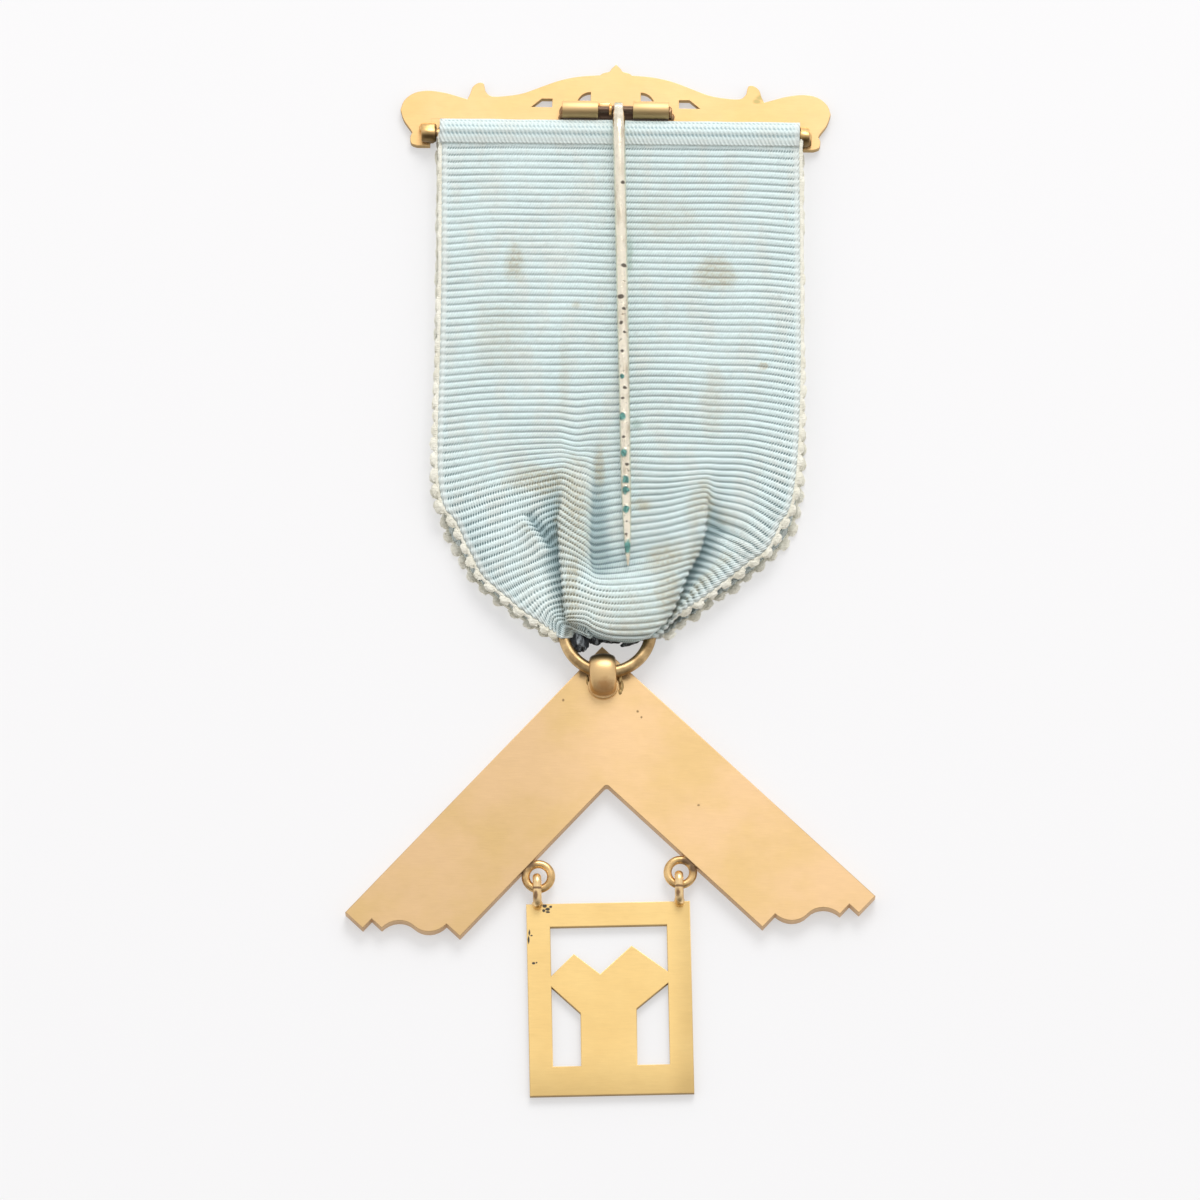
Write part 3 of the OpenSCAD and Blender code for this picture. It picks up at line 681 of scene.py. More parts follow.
def make_plate_loops(material):
    """Upright ovals of wire from the plate's top edge through the eye rings."""
    bm = bmesh.new()
    for x in LOOP_X:
        section = [(x + LOOP_WIRE / 2 * math.cos(a) * 1.25, LOOP_LOW,
                    EYE_RING_Z + LOOP_RADIUS + LOOP_WIRE / 2 * math.sin(a)) for a in angles_round(20)]
        verts, edges = loop_of(bm, section)
        geom = verts + edges
        for end, run in ((LOOP_LOW, LOOP_LENGTH), (LOOP_LOW + LOOP_LENGTH, -LOOP_LENGTH)):
            turned = bmesh.ops.spin(bm, geom=geom, cent=Vector((x, end, EYE_RING_Z)) * MM, axis=(1, 0, 0),
                                    angle=math.pi, steps=20)["geom_last"]
            pushed = bmesh.ops.extrude_edge_only(bm, edges=of_kind(turned, BMEdge))["geom"]
            geom = of_kind(pushed, (BMVert, BMEdge))
            bmesh.ops.translate(bm, vec=(0, run * MM, 0), verts=of_kind(geom, BMVert))
    bmesh.ops.remove_doubles(bm, verts=bm.verts, dist=MERGE)
    for x in LOOP_X:
        add_lump(bm, (x, 0.05, PLATE_THICKNESS - 0.02), (0.56, 0.42, 0.2), x)
    place_in(bm, PLATE_FRAME)
    add_round_piece("plate_loops", bm, material, "plate")


def make_bar_pieces():
    bar = satin_gold("bar_gold_satin", (0.855, 0.56, 0.268, 1), (0.82, 0.525, 0.225, 1), 0.38,
                     BAR_MARKS, (0.66, 0.52, 0.20, 1), soft=0.6)
    # The walls and rounded rims get darker golds: painted shade.
    walls = satin_gold("bar_gold_walls", (0.56, 0.39, 0.17, 1), (0.42, 0.28, 0.12, 1), 0.5)
    edges = satin_gold("bar_gold_edges", (0.76, 0.54, 0.27, 1), (0.70, 0.48, 0.22, 1), 0.5)
    rounded_slab("top_bar", "scroll_bar", BAR_THICKNESS, 0.05, (bar, walls, edges))
    make_foot_web(bar)
    # The tubes darken on their side towards the plate: painted shade.
    tubes = satin_gold("hinge_gold", (0.88, 0.62, 0.31, 1), (0.72, 0.58, 0.28, 1), 0.55,
                       falls=[("Y", -0.6, 0.1, 0.45)])
    # A dark brown for the strip under the tubes, the hinge wire and the collars at the eyes' inner ends.
    dark = satin_gold("hinge_dark_brown", (0.17, 0.11, 0.075, 1), (0.10, 0.07, 0.05, 1), 0.45)
    copper = satin_gold("washer_copper", (0.85, 0.47, 0.17, 1), (0.62, 0.32, 0.11, 1), 0.35)
    solder = satin_gold("hinge_solder_brown", (0.40, 0.25, 0.14, 1), (0.26, 0.16, 0.10, 1), 0.5)
    make_hinge_tubes(tubes, solder)
    make_hinge_seat(dark, bar, copper)
    # The eyes darken on their side towards the plate: painted shade.
    eyes = satin_gold("rod_eye_gold", (0.84, 0.56, 0.25, 1), (0.62, 0.40, 0.16, 1), 0.36,
                      falls=[("Y", -3.1, -2.4, 0.72)], drift_scale=900)
    make_rod_eyes(eyes, dark)
    make_rods(dark, bar)


def make_square_pieces():
    # The square darkens towards its left leg: painted shade for how its brushed grain takes the light.
    square = satin_gold("square_gold_satin", (0.86, 0.585, 0.315, 1), (0.80, 0.55, 0.25, 1), 0.38,
                        SQUARE_SHADE_AND_MARKS, (0.30, 0.19, 0.08, 1), grain_turn=0.78,
                        falls=[("X", -9, 3, 0.14)], soft=0.6)
    # The walls and rounded rims get darker golds: painted shade.
    walls = satin_gold("square_gold_walls", (0.72, 0.50, 0.29, 1), (0.58, 0.39, 0.22, 1), 0.5)
    edges = satin_gold("square_gold_edges", (0.66, 0.46, 0.25, 1), (0.58, 0.39, 0.20, 1), 0.5)
    rounded_slab("square", "set_square", SQUARE_THICKNESS, 0.08, (square, walls, edges))
    # The bail darkens towards its top end at the square's corner, painted shade, and carries a painted brown
    # reflection.
    polished = satin_gold("bail_gold", (0.86, 0.61, 0.32, 1), (0.70, 0.47, 0.22, 1), 0.42, BAIL_REFLECTION,
                          (0.46, 0.25, 0.09, 1), falls=[("Y", -58.3, -59.3, 0.8)], soft=0.8)
    solder = satin_gold("bail_solder_olive", (0.58, 0.42, 0.19, 1), (0.36, 0.25, 0.11, 1), 0.5,
                        drift_scale=1500)
    make_bail(polished, solder)
    rings = satin_gold("eye_ring_gold", (0.84, 0.57, 0.26, 1), (0.50, 0.31, 0.13, 1), 0.34, EYE_MARKS,
                       (0.16, 0.09, 0.04, 1), drift_scale=700, soft=0.5)
    make_eye_rings(rings)


def make_plate_pieces():
    # The plate darkens towards its bottom and its right edge: painted shade.
    plate = satin_gold("plate_gold_satin", (0.93, 0.66, 0.275, 1), (0.88, 0.61, 0.245, 1), 0.36, PLATE_MARKS,
                       (0.07, 0.06, 0.045, 1), grain_turn=1.57,
                       falls=[("Y", -105, -98, 0.24), ("X", 8.9, 6.2, 0.16)])
    # The walls and rounded rims get darker golds: painted shade.
    walls = satin_gold("plate_gold_walls", (0.50, 0.34, 0.14, 1), (0.36, 0.24, 0.10, 1), 0.5)
    edges = satin_gold("plate_gold_edges", (0.78, 0.55, 0.24, 1), (0.68, 0.46, 0.19, 1), 0.48)
    rounded_slab("plate", "hanging_plate", PLATE_THICKNESS, 0.06, (plate, walls, edges))
    # The loops' dark marks are painted shade and reflection.
    loops = satin_gold("plate_loop_gold", (0.93, 0.68, 0.36, 1), (0.78, 0.53, 0.25, 1), 0.3, LOOP_PAINTED_SHADE,
                       (0.22, 0.12, 0.05, 1), drift_scale=900, soft=0.5)
    make_plate_loops(loops)


# Ribbon

# Each guide is a line down the cloth: (length down the ribbon, x, rise above its flat place, z), in mm
BACK_GUIDES = {
    "left_selvedge": [
        (2.9, -17.9, -0.1, 2.3), (20, -17.7, -0.45, 2.4), (28, -17.75, -0.7, 2.38),
        (35.2, -17.8, -1, 2.36), (38.8, -17.6, -1.43, 2.3), (41, -17, -1.6, 2.2),
        (42.4, -15.85, -1.55, 2.15), (44.6, -14.85, -1.55, 2.15), (46, -14.1, -1.65, 2.2),
        (48.2, -13.05, -1.55, 2.3), (49.6, -11.85, -1.3, 2.4), (51, -10.35, -1.1, 2.5),
        (52.5, -8.9, -0.85, 2.6), (53.9, -7.45, -0.47, 2.7), (55.4, -6.25, 0.05, 2.8),
        (56.8, -5.45, 0.85, 2.95), (58, -4.9, 1.4, 2.9), (59.2, -3.3, 2.9, 2.3)],
    "left_panel": [
        (2.9, -11.4, 0, 2.35), (28, -11.4, 0, 2.46), (35.2, -11.42, -0.1, 2.46),
        (38.8, -11.37, 0.1, 2.48), (42.4, -11.3, 0, 2.6), (44.6, -11.07, -0.3, 2.65),
        (46, -10.74, -0.4, 2.7), (48.2, -9.7, -0.1, 2.75), (49.6, -8.86, 0.1, 2.8),
        (51, -7.92, 0.35, 2.85), (52.5, -7.19, 0.47, 2.95), (53.9, -6.5, 0.74, 3),
        (55.4, -5.85, 1.3, 3.05), (56.8, -5.4, 2, 3.15), (58, -4.6, 2.6, 3.1), (59.2, -3.2, 3.2, 2.4)],
    "left_crossing": [
        (2.9, -5.9, 0, 2.35), (28, -5.9, 0, 2.46), (35.2, -5.8, 0, 2.5), (38.8, -5.6, 0.8, 2.7),
        (42.4, -5.5, 1.6, 2.6), (44.6, -5.3, 2, 2.35), (46, -5.2, 2.33, 2.2), (46.7, -5.2, 2.39, 2.15),
        (48.2, -5.25, 2.02, 2.12), (49.6, -5.2, 1.75, 2.15), (51, -5.1, 1.46, 2.25),
        (52.5, -4.86, 1.49, 2.35), (53.9, -4.7, 1.41, 2.5), (55.4, -4.5, 1.7, 2.7),
        (56.8, -4.35, 2.05, 2.9), (58, -4, 2.6, 3.1), (59.2, -2.8, 3.2, 2.5)],
    "left_under": [
        (2.9, -5.2, 0, 2.35), (28, -5.2, 0, 2.46), (35.2, -5.2, 0, 2.52), (38.8, -5.2, 0.85, 2.78),
        (42.4, -5.1, 1.6, 2.85), (44.6, -4.8, 1.8, 2.65), (46, -4.4, 2, 2.55), (48.2, -4, 1.9, 2.5),
        (49.6, -3.8, 1.7, 2.55), (51, -3.5, 1.5, 2.7), (53.9, -2.6, 1.4, 2.95), (56.8, -2.2, 1.6, 3.3),
        (58, -2, 1.8, 3.3), (59.2, -1.6, 2.8, 2.6)],
    "left_fold": [
        (2.9, -4.6, 0, 2.35), (28, -4.6, 0, 2.46), (35.2, -4.6, -0.15, 2.55), (38.8, -4.6, 0.8, 2.9),
        (42.4, -4.75, 1.4, 3.2), (44.6, -5.1, 1.7, 3.35), (46, -5.3, 1.9, 3.4), (48.2, -5.25, 1.8, 3.4),
        (49.6, -5.1, 1.6, 3.45), (51, -4.95, 1.4, 3.55), (53.9, -4.65, 1.2, 3.75),
        (55.4, -4.45, 1.1, 3.8), (56.8, -4.2, 1.9, 3.8), (58, -3.8, 2.9, 3.4), (59.2, -3.2, 3.7, 2.6)],
    "left_ridge": [
        (2.9, -3.5, 0, 2.35), (28, -3.5, 0, 2.46), (35.2, -3.5, -0.3, 2.55), (38.8, -3.6, 0.57, 2.9),
        (42.4, -3.6, 0.6, 3.35), (46.7, -3.65, 0.7, 3.6), (50.3, -3.5, 1.2, 3.7), (53.9, -3.4, 1.05, 4),
        (55.4, -3.3, 1.1, 4.15), (56.8, -3.2, 1.8, 4.05), (58, -3, 2.75, 3.5), (59.2, -2.6, 3.7, 2.5)],
    "ridge_side": [
        (2.9, -2.5, 0, 2.35), (28, -2.5, 0, 2.46), (35.2, -2.5, -0.1, 2.5), (38.8, -2.6, 0.45, 2.78),
        (42.4, -2.6, 0.3, 3.15), (46.7, -2.6, 0.15, 3.3), (48.3, -2.45, 0.25, 3.3),
        (50.3, -2.35, 0.75, 3.5), (53.9, -2.3, 0.8, 4), (56.8, -2.2, 1.45, 4.1), (58, -2.1, 2.4, 3.5),
        (59.2, -1.9, 3.4, 2.4)],
    "valley": [
        (2.9, -1.6, 0, 2.35), (28, -1.6, 0, 2.46), (35.2, -1.6, 0, 2.44), (38.8, -1.7, 0.2, 2.38),
        (42.4, -1.75, -0.05, 2.22), (46.7, -1.75, -0.25, 2.1), (48.3, -1.7, -0.15, 2.25),
        (49.6, -1.6, 0.2, 2.85), (51, -1.5, 0.4, 3.5), (53.9, -1.4, 0.6, 3.95), (55.4, -1.4, 0.6, 4.15),
        (56.8, -1.4, 1.0, 4.1), (58, -1.4, 1.9, 3.4), (59.2, -1.3, 3.1, 2.3)],
    "centre": [
        (2.9, 0.3, 0, 2.35), (28, 0.3, 0, 2.46), (35.2, 0.35, 0.04, 2.46), (38.8, 0.39, 0.37, 2.46),
        (42.4, 0.44, 0.22, 2.42), (46.7, 0.49, 0.03, 2.4), (48.3, 0.5, 0.1, 2.5),
        (49.6, 0.52, 0.25, 2.85), (50.6, 0.53, 0.33, 3.25), (52, 0.55, 0.36, 3.6),
        (53.9, 0.57, 0.38, 3.95), (55.4, 0.59, 0.36, 4.15), (56.8, 0.6, 0.55, 4.1), (58, 0.6, 1.5, 3.4),
        (59.2, 0.4, 2.8, 2.3)],
    "right_slope": [
        (2.9, 5, 0, 2.35), (28, 5, 0.1, 2.46), (35.2, 4.96, 0.31, 2.46), (38.8, 5, 0.21, 2.46),
        (42.4, 5.03, 0.61, 2.5), (46.7, 5.08, 0.62, 2.8), (48.5, 5.1, 0.7, 3.15),
        (50.3, 5.11, 0.73, 3.55), (53.9, 5.15, 0.73, 4.05), (55.4, 5.1, 0.69, 4.15),
        (56.8, 4.3, 0.85, 4.05), (58, 3.2, 1.5, 3.4), (59.2, 2.2, 2.7, 2.3)],
    "right_fold": [
        (2.9, 9.4, 0, 2.35), (28, 9.4, 0.2, 2.46), (35.2, 9.57, 0.46, 2.5), (38.8, 9.7, 0.63, 2.65),
        (41, 9.75, 1.2, 2.9), (42.4, 9.72, 1.62, 3.1), (44.6, 9.74, 1.92, 3.35), (46, 9.75, 1.88, 3.45),
        (47.4, 9.56, 1.74, 3.45), (48.9, 9.17, 1.81, 3.5), (50.3, 8.5, 1.9, 3.55),
        (51.8, 7.8, 1.9, 3.6), (53.9, 6.9, 1.4, 3.75), (55.4, 6.1, 1.2, 3.85), (56.8, 4.8, 1.5, 3.8),
        (58, 3.8, 2.2, 3.4), (59.2, 2.9, 3.3, 2.4)],
    "right_under": [
        (2.9, 9.9, 0, 2.35), (28, 9.9, 0.2, 2.46), (38.8, 10.1, 0.65, 2.6), (42.4, 10, 1.5, 2.8),
        (44.6, 9.5, 1.7, 2.6), (46, 8.8, 1.6, 2.55), (48.9, 7.6, 1.5, 2.5), (51.8, 5.8, 1.5, 2.65),
        (53.9, 4.6, 1.3, 2.9), (56.8, 3.2, 1.4, 3.3), (58, 2.4, 1.8, 3.3), (59.2, 1.2, 2.8, 2.6)],
    "right_crossing": [
        (2.9, 10.5, 0, 2.35), (28, 10.5, 0.2, 2.46), (38.8, 10.6, 0.6, 2.55), (42.4, 10.5, 1.2, 2.6),
        (44.6, 10.2, 1.4, 2.3), (46, 9.9, 1.3, 2.2), (48.9, 9.3, 1.3, 2.15), (51.8, 7.9, 1.3, 2.25),
        (53.9, 6.95, 1.3, 2.5), (56.8, 5.2, 1.5, 2.9), (58, 4, 2.4, 3.1), (59.2, 2.8, 3.4, 2.4)],
    "right_panel": [
        (2.9, 14, 0, 2.35), (28, 13.8, 0.1, 2.46), (35.2, 13.67, 0.2, 2.46), (38.8, 13.7, 0.31, 2.5),
        (42.4, 13.7, 0.4, 2.6), (45.3, 13.4, 0.02, 2.7), (46.7, 12.64, 0.08, 2.75),
        (48.2, 11.73, 0.33, 2.8), (49.6, 10.61, 0.66, 2.85), (51, 9.4, 0.98, 2.9),
        (52.5, 8.39, 1.03, 2.95), (53.9, 7.5, 1.17, 3), (56.8, 5.7, 1.4, 3.1), (58, 4.6, 2, 3),
        (59.2, 3.1, 3.1, 2.4)],
    "right_selvedge": [
        (2.9, 19, -0.1, 2.3), (20.7, 19.25, -0.44, 2.4), (28, 19.3, -0.67, 2.38),
        (35.2, 19.1, -0.99, 2.36), (38.8, 18.73, -1.4, 2.3), (41, 18.18, -1.67, 2.2),
        (42.4, 17.38, -1.44, 2.15), (43.8, 16.63, -1.72, 2.15), (45.3, 15.66, -1.65, 2.2),
        (46.7, 14.35, -1.07, 2.25), (48.2, 12.85, -0.74, 2.3), (49.6, 11.55, -0.39, 2.4),
        (51, 10.18, -0.18, 2.5), (52.5, 8.77, 0.16, 2.6), (53.9, 7.55, 0.72, 2.7),
        (55.4, 6.55, 1.3, 2.8), (56.8, 5.55, 1.6, 2.9), (58, 4.9, 1.9, 2.9), (59.2, 3.3, 2.9, 2.3)],
}

FRONT_GUIDES = {
    "left_selvedge": [
        (-4, -18.15, 0, 0.14), (2.5, -18.1, 0, 0.14), (35, -17.8, -0.6, 0.14), (38.3, -17.9, -1.1, 0.14),
        (40.6, -17.3, -1.2, 0.14), (42, -16.7, -1.3, 0.14), (43.6, -16.4, -1.4, 0.15),
        (45, -15.5, -1.3, 0.16), (46.2, -14.85, -1.2, 0.18), (47.7, -14.1, -1.3, 0.2),
        (49.2, -12.85, -1.15, 0.26), (50.4, -11.7, -0.9, 0.33), (53.6, -8.2, -0.4, 0.6),
        (56.5, -5.3, 0.5, 1.3), (59.2, -3.3, 2.9, 2.3)],
    "left_panel": [
        (-4, -8, 0, 0.14), (2.5, -8, 0, 0.14), (35, -8, 0, 0.14), (43, -8, -0.2, 0.14),
        (50, -6.6, -0.2, 0.2), (55.5, -3.9, 0.2, 0.6), (57.5, -2.8, 1.8, 1.3), (59.2, -1.7, 2.9, 2.3)],
    "centre": [
        (-4, 0.6, 0, 0.14), (2.5, 0.6, 0, 0.14), (43, 0.6, 0, 0.14), (50, 0.4, -0.3, 0.14),
        (55.5, 0.2, 0.0, 0.5), (57.5, 0.1, 1.5, 1.3), (59.2, 0, 2.85, 2.3)],
    "right_panel": [
        (-4, 9.4, 0, 0.14), (2.5, 9.4, 0, 0.14), (35, 9.4, 0, 0.14), (43, 9.4, -0.2, 0.14),
        (50, 7.6, 0, 0.2), (55.5, 4.2, 0.3, 0.6), (57.5, 3, 1.8, 1.3), (59.2, 1.7, 2.9, 2.3)],
    "right_selvedge": [
        (-4, 19, 0, 0.14), (2.5, 19.1, 0, 0.14), (35, 19.3, -0.6, 0.14), (38.5, 19.1, -1.1, 0.14),
        (41.4, 18.6, -1.6, 0.14), (43, 17.9, -1.8, 0.14), (44.5, 16.9, -1.7, 0.15),
        (45.7, 15.8, -1.4, 0.16), (47.3, 14.5, -1, 0.18), (48.65, 13.2, -0.65, 0.22),
        (50.3, 11.7, -0.2, 0.3), (51.85, 10.1, 0.55, 0.4), (53.1, 9.2, 0.5, 0.45),
        (54.2, 8.1, 0.9, 0.55), (55.2, 7.1, 1.1, 0.7), (56.2, 6.3, 1.2, 0.95), (57.6, 5, 1.7, 1.5),
        (59.2, 3.3, 2.9, 2.3)],
}

# Small creases beside the folds: (x, y, x, y, depth, width) in mm
CREASES = [(-8.2, -43.4, -6.1, -46.2, 0.5, 0.5), (-8.9, -44.6, -7.0, -47.2, -0.25, 0.6),
           (11.4, -44.6, 13.8, -45.6, 0.28, 0.55), (12.2, -46.6, 13.6, -47.0, 0.2, 0.5)]

# Marks on the back layer: (x, y, reach in x, reach in y) in mm
# Beige stains, and fainter ones
STAINS = [(-10.2, -16.5, 1.0, 1.9), (-3.8, -21.05, 0.35, 0.35), (10.4, -17.5, 1.9, 1.6),
          (11.4, -18.3, 0.7, 0.6), (15.5, -27.3, 0.45, 0.4), (-7.2, -39.7, 3.0, 1.4),
          (-3.85, -43.0, 1.4, 4.8), (-3.9, -51.7, 0.8, 4.5), (9.6, -41.8, 0.8, 1.9), (5.7, -48.0, 2.0, 1.9),
          (5.9, -52.2, 1.3, 2.4), (-1.2, -38.5, 0.5, 2.2), (3.2, -42.2, 1.0, 0.6)]
FAINT_STAINS = [(-5.0, -28.6, 0.45, 4.4), (10.3, -31.4, 0.9, 3.8), (11.8, -43.4, 1.1, 0.9),
                (1.0, -53.5, 4.8, 2.3), (-11.5, -24.0, 2.2, 3.5), (5.5, -12.0, 3.0, 2.0)]
# Green tints beside the pin
GREEN_STAINS = [(1.55, -15.4, 0.4, 2.0), (2.5, -33.7, 0.5, 0.5)]
# Painted shade on the sides of the two folds, where the grooves open wider
FOLD_SHADES = [(-5.8, -45.0, 0.9, 1.2), (-5.7, -47.1, 0.8, 1.4), (-5.65, -49.2, 0.8, 1.4),
               (-5.45, -51.3, 0.8, 1.4), (-5.0, -53.4, 0.9, 1.4), (-4.7, -55.2, 1.1, 1.2),
               (-7.1, -44.6, 1.3, 0.35), (10.6, -44.8, 0.9, 1.2), (9.9, -46.6, 1.1, 1.2),
               (9.3, -48.2, 1.1, 1.2), (8.5, -50.0, 1.1, 1.2), (7.7, -51.5, 1.0, 1.1),
               (6.9, -53.0, 0.9, 1.1), (6.3, -54.3, 0.8, 1.0)]

# Crumpled cloth in the ring and under the roll, painted as shadow: (place, size, turn)
NECK_LUMPS = [((-3.1, -56.6, 2.25), (1.25, 1.0, 0.85), -0.7), ((-1.7, -56.15, 1.9), (1.2, 0.6, 0.6), -0.3),
              ((0.5, -56.25, 1.9), (1.9, 0.4, 0.5), 0.05), ((2.4, -56.3, 1.9), (1.3, 0.45, 0.5), 0.5)]


def table_row(table, at):
    """The values of a table at a place, on a smooth curve through its rows."""
    last = len(table) - 1
    if at <= table[0][0]:
        return table[0][1:]
    if at >= table[last][0]:
        return table[last][1:]
    i = max(k for k in range(last) if table[k][0] <= at)
    a, b = table[i], table[i + 1]
    before, after = table[max(i - 1, 0)], table[min(i + 2, last)]
    span = b[0] - a[0]
    t = (at - a[0]) / span
    values = []
    for k in range(1, len(a)):
        slope_a = (b[k] - before[k]) / (b[0] - before[0]) * span
        slope_b = (after[k] - a[k]) / (after[0] - a[0]) * span
        values.append((2 * t ** 3 - 3 * t ** 2 + 1) * a[k] + (t ** 3 - 2 * t ** 2 + t) * slope_a
                      + (3 * t ** 2 - 2 * t ** 3) * b[k] + (t ** 3 - t ** 2) * slope_b)
    return values


def curve_through(points, steps):
    """A smooth open curve through some points, as a list of points."""
    ends = [2 * points[0] - points[1]] + points + [2 * points[-1] - points[-2]]
    curve = []
    for i in range(1, len(ends) - 2):
        p0, p1, p2, p3 = ends[i - 1:i + 3]
        t0 = 0.0
        t1 = t0 + max((p1 - p0).length, 1e-6) ** 0.5
        t2 = t1 + max((p2 - p1).length, 1e-6) ** 0.5
        t3 = t2 + max((p3 - p2).length, 1e-6) ** 0.5
        for step in range(steps):
            t = t1 + (t2 - t1) * step / steps
            a1 = p0.lerp(p1, (t - t0) / (t1 - t0))
            a2 = p1.lerp(p2, (t - t1) / (t2 - t1))
            a3 = p2.lerp(p3, (t - t2) / (t3 - t2))
            b1 = a1.lerp(a2, (t - t0) / (t2 - t0))
            b2 = a2.lerp(a3, (t - t1) / (t3 - t1))
            curve.append(b1.lerp(b2, (t - t1) / (t2 - t1)))
    curve.append(points[-1].copy())
    return curve


def evenly_spaced(curve, count):
    """Points at equal steps along a curve."""
    lengths = [0.0]
    for a, b in zip(curve, curve[1:]):
        lengths.append(lengths[-1] + (b - a).length)
    points = []
    i = 0
    for k in range(count):
        want = lengths[-1] * k / (count - 1)
        while i < len(curve) - 2 and lengths[i + 1] < want:
            i += 1
        span = max(lengths[i + 1] - lengths[i], 1e-9)
        points.append(curve[i].lerp(curve[i + 1], (want - lengths[i]) / span))
    return points


def back_place(v, x, rise, z):
    return Vector((x, rise - v, z))


def front_place(v, x, rise, z):
    """The front layer's place. Above the rod it turns over it and comes down on the back."""
    if v >= -ROD_Y:
        return Vector((x, rise - v, z))
    turned = -ROD_Y - v
    if turned < TURN_LENGTH:
        a = turned / TURN_RADIUS
        return Vector((x, ROD_Y + TURN_RADIUS * math.sin(a), ROD_Z - TURN_RADIUS * math.cos(a)))
    past = turned - TURN_LENGTH
    return Vector((x, ROD_Y - past, ROD_Z + TURN_RADIUS - HEM_FALL * min(past, HEM_REACH)))


def crease_depth(point):
    depth = 0.0
    for x0, y0, x1, y1, deep, width in CREASES:
        run = Vector((x1 - x0, y1 - y0))
        offset = Vector((point.x - x0, point.y - y0))
        share = clamped(offset.dot(run) / run.length_squared)
        depth += deep * math.exp(-((offset - run * share).length / width) ** 2)
    return depth


def smoothed(lines, reach):
    """Each line of numbers, averaged over the neighbours within a reach."""
    result = []
    for line in lines:
        sums = [0.0]
        for value in line:
            sums.append(sums[-1] + value)
        count = len(line)
        result.append([(sums[min(i + reach + 1, count)] - sums[max(i - reach, 0)])
                       / (min(i + reach + 1, count) - max(i - reach, 0)) for i in range(count)])
    return result


def depths(grid):
    """How far each point of the cloth lies below its surroundings, in mm."""
    heights = [[point.z for point in row] for row in grid]
    columns = list(zip(*smoothed(heights, 9)))
    around = list(zip(*smoothed(columns, 28)))
    return [[mean - z for mean, z in zip(means, zs)] for means, zs in zip(around, heights)]


def cloth_row(guides, place, v, columns, creased):
    """The points of the cloth at a length down it, through the guides, with slight waves and the creases."""
    points = [place(v, *table_row(table, v)) for table in guides.values()]
    row = evenly_spaced(curve_through(points, 10), columns)
    calm = clamped((v - 5) / 8)
    for point in row:
        point.y += calm * 0.26 * noise.noise(Vector((point.x * 0.14, v * 0.09, 5)))
        point.z += calm * 0.13 * (noise.noise(Vector((point.x * 0.13, v * 0.16, 9))) + 0.2)
        if creased:
            depth = crease_depth(point)
            point.z -= depth
            point.y -= 0.7 * depth
    return row


def rib_rise(v):
    """How far the ribs rise from the cloth at a length down it. They stand out more in the gathers."""
    if v < SEAM_FROM:
        return 0.8 * RIB_HEIGHT
    turn = math.pi * (v - RIB_START) / RIB_PITCH
    return RIB_HEIGHT * (0.8 + 0.7 * clamped((v - 20) / 36)) * abs(math.sin(turn)) ** 0.9


def cloth(name, guides, place, v_first, rows_per_rib, columns, outward, material):
    """A ribbed layer of the ribbon, made on a grid whose rows follow the ribs.

    outward is 1 where the ribs rise upwards, and -1 where they rise downwards."""
    rows = round((NECK - v_first) / RIB_PITCH * rows_per_rib)
    lengths = [v_first + (NECK - v_first) * r / rows for r in range(rows + 1)]
    grid = [cloth_row(guides, place, v, columns, outward > 0) for v in lengths]
    deep_below = depths(grid)
    bm = bmesh.new()
    bmesh.ops.create_grid(bm, x_segments=columns - 1, y_segments=rows, size=1)
    bm.verts.ensure_lookup_table()
    deep = bm.verts.layers.float.new("deep")
    cloth_uv = bm.loops.layers.uv.new("cloth")
    for r, v in enumerate(lengths):
        rise = rib_rise(v)
        row, above, below = grid[r], grid[max(r - 1, 0)], grid[min(r + 1, rows)]
        for c in range(columns):
            across = row[min(c + 1, columns - 1)] - row[max(c - 1, 0)]
            normal = (below[c] - above[c]).cross(across).normalized() * outward
            uneven = 1 + 0.35 * noise.noise(Vector((row[c].x * 0.35, v * 0.9, 2)))
            vertex = bm.verts[r * columns + c]
            vertex.co = (row[c] + normal * rise * uneven) * MM
            vertex.co.z = max(vertex.co.z, ABOVE_FLOOR * MM)
            vertex[deep] = deep_below[r][c]
            for loop in vertex.link_loops:
                loop[cloth_uv].uv = (c / (columns - 1) * RIBBON_WIDTH * MM, (v - RIB_START) * MM)
    for face in bm.faces:
        face.smooth = True
    if outward > 0:
        bmesh.ops.reverse_faces(bm, faces=bm.faces)
    piece = add_piece(name, bm, [material], "ribbon")
    wall = piece.modifiers.new("wall", "SOLIDIFY")
    wall.thickness = CLOTH_THICKNESS * MM
    wall.offset = -1
    return piece, grid


def thread_ticks(tree, place, across, down, coarse):
    """Waves of thread across the ribs, slanted a little, and coarser where the mask says so."""
    slanted = plus(tree, across, times(tree, down, THREAD_SLANT))
    ticks = None
    for pitch in (THREAD_PITCH, HEM_THREAD_PITCH):
        shift = times(tree, noise_at(tree, place, 700, 2), 3.0)
        turns = plus(tree, times(tree, slanted, math.tau / (pitch * MM)), shift)
        wave = plus(tree, times(tree, calc(tree, "SINE", turns), 0.5), 0.5)
        ticks = wave if ticks is None else node(tree, "Mix", {0: coarse, 2: ticks, 3: wave}).outputs[0]
    return ticks


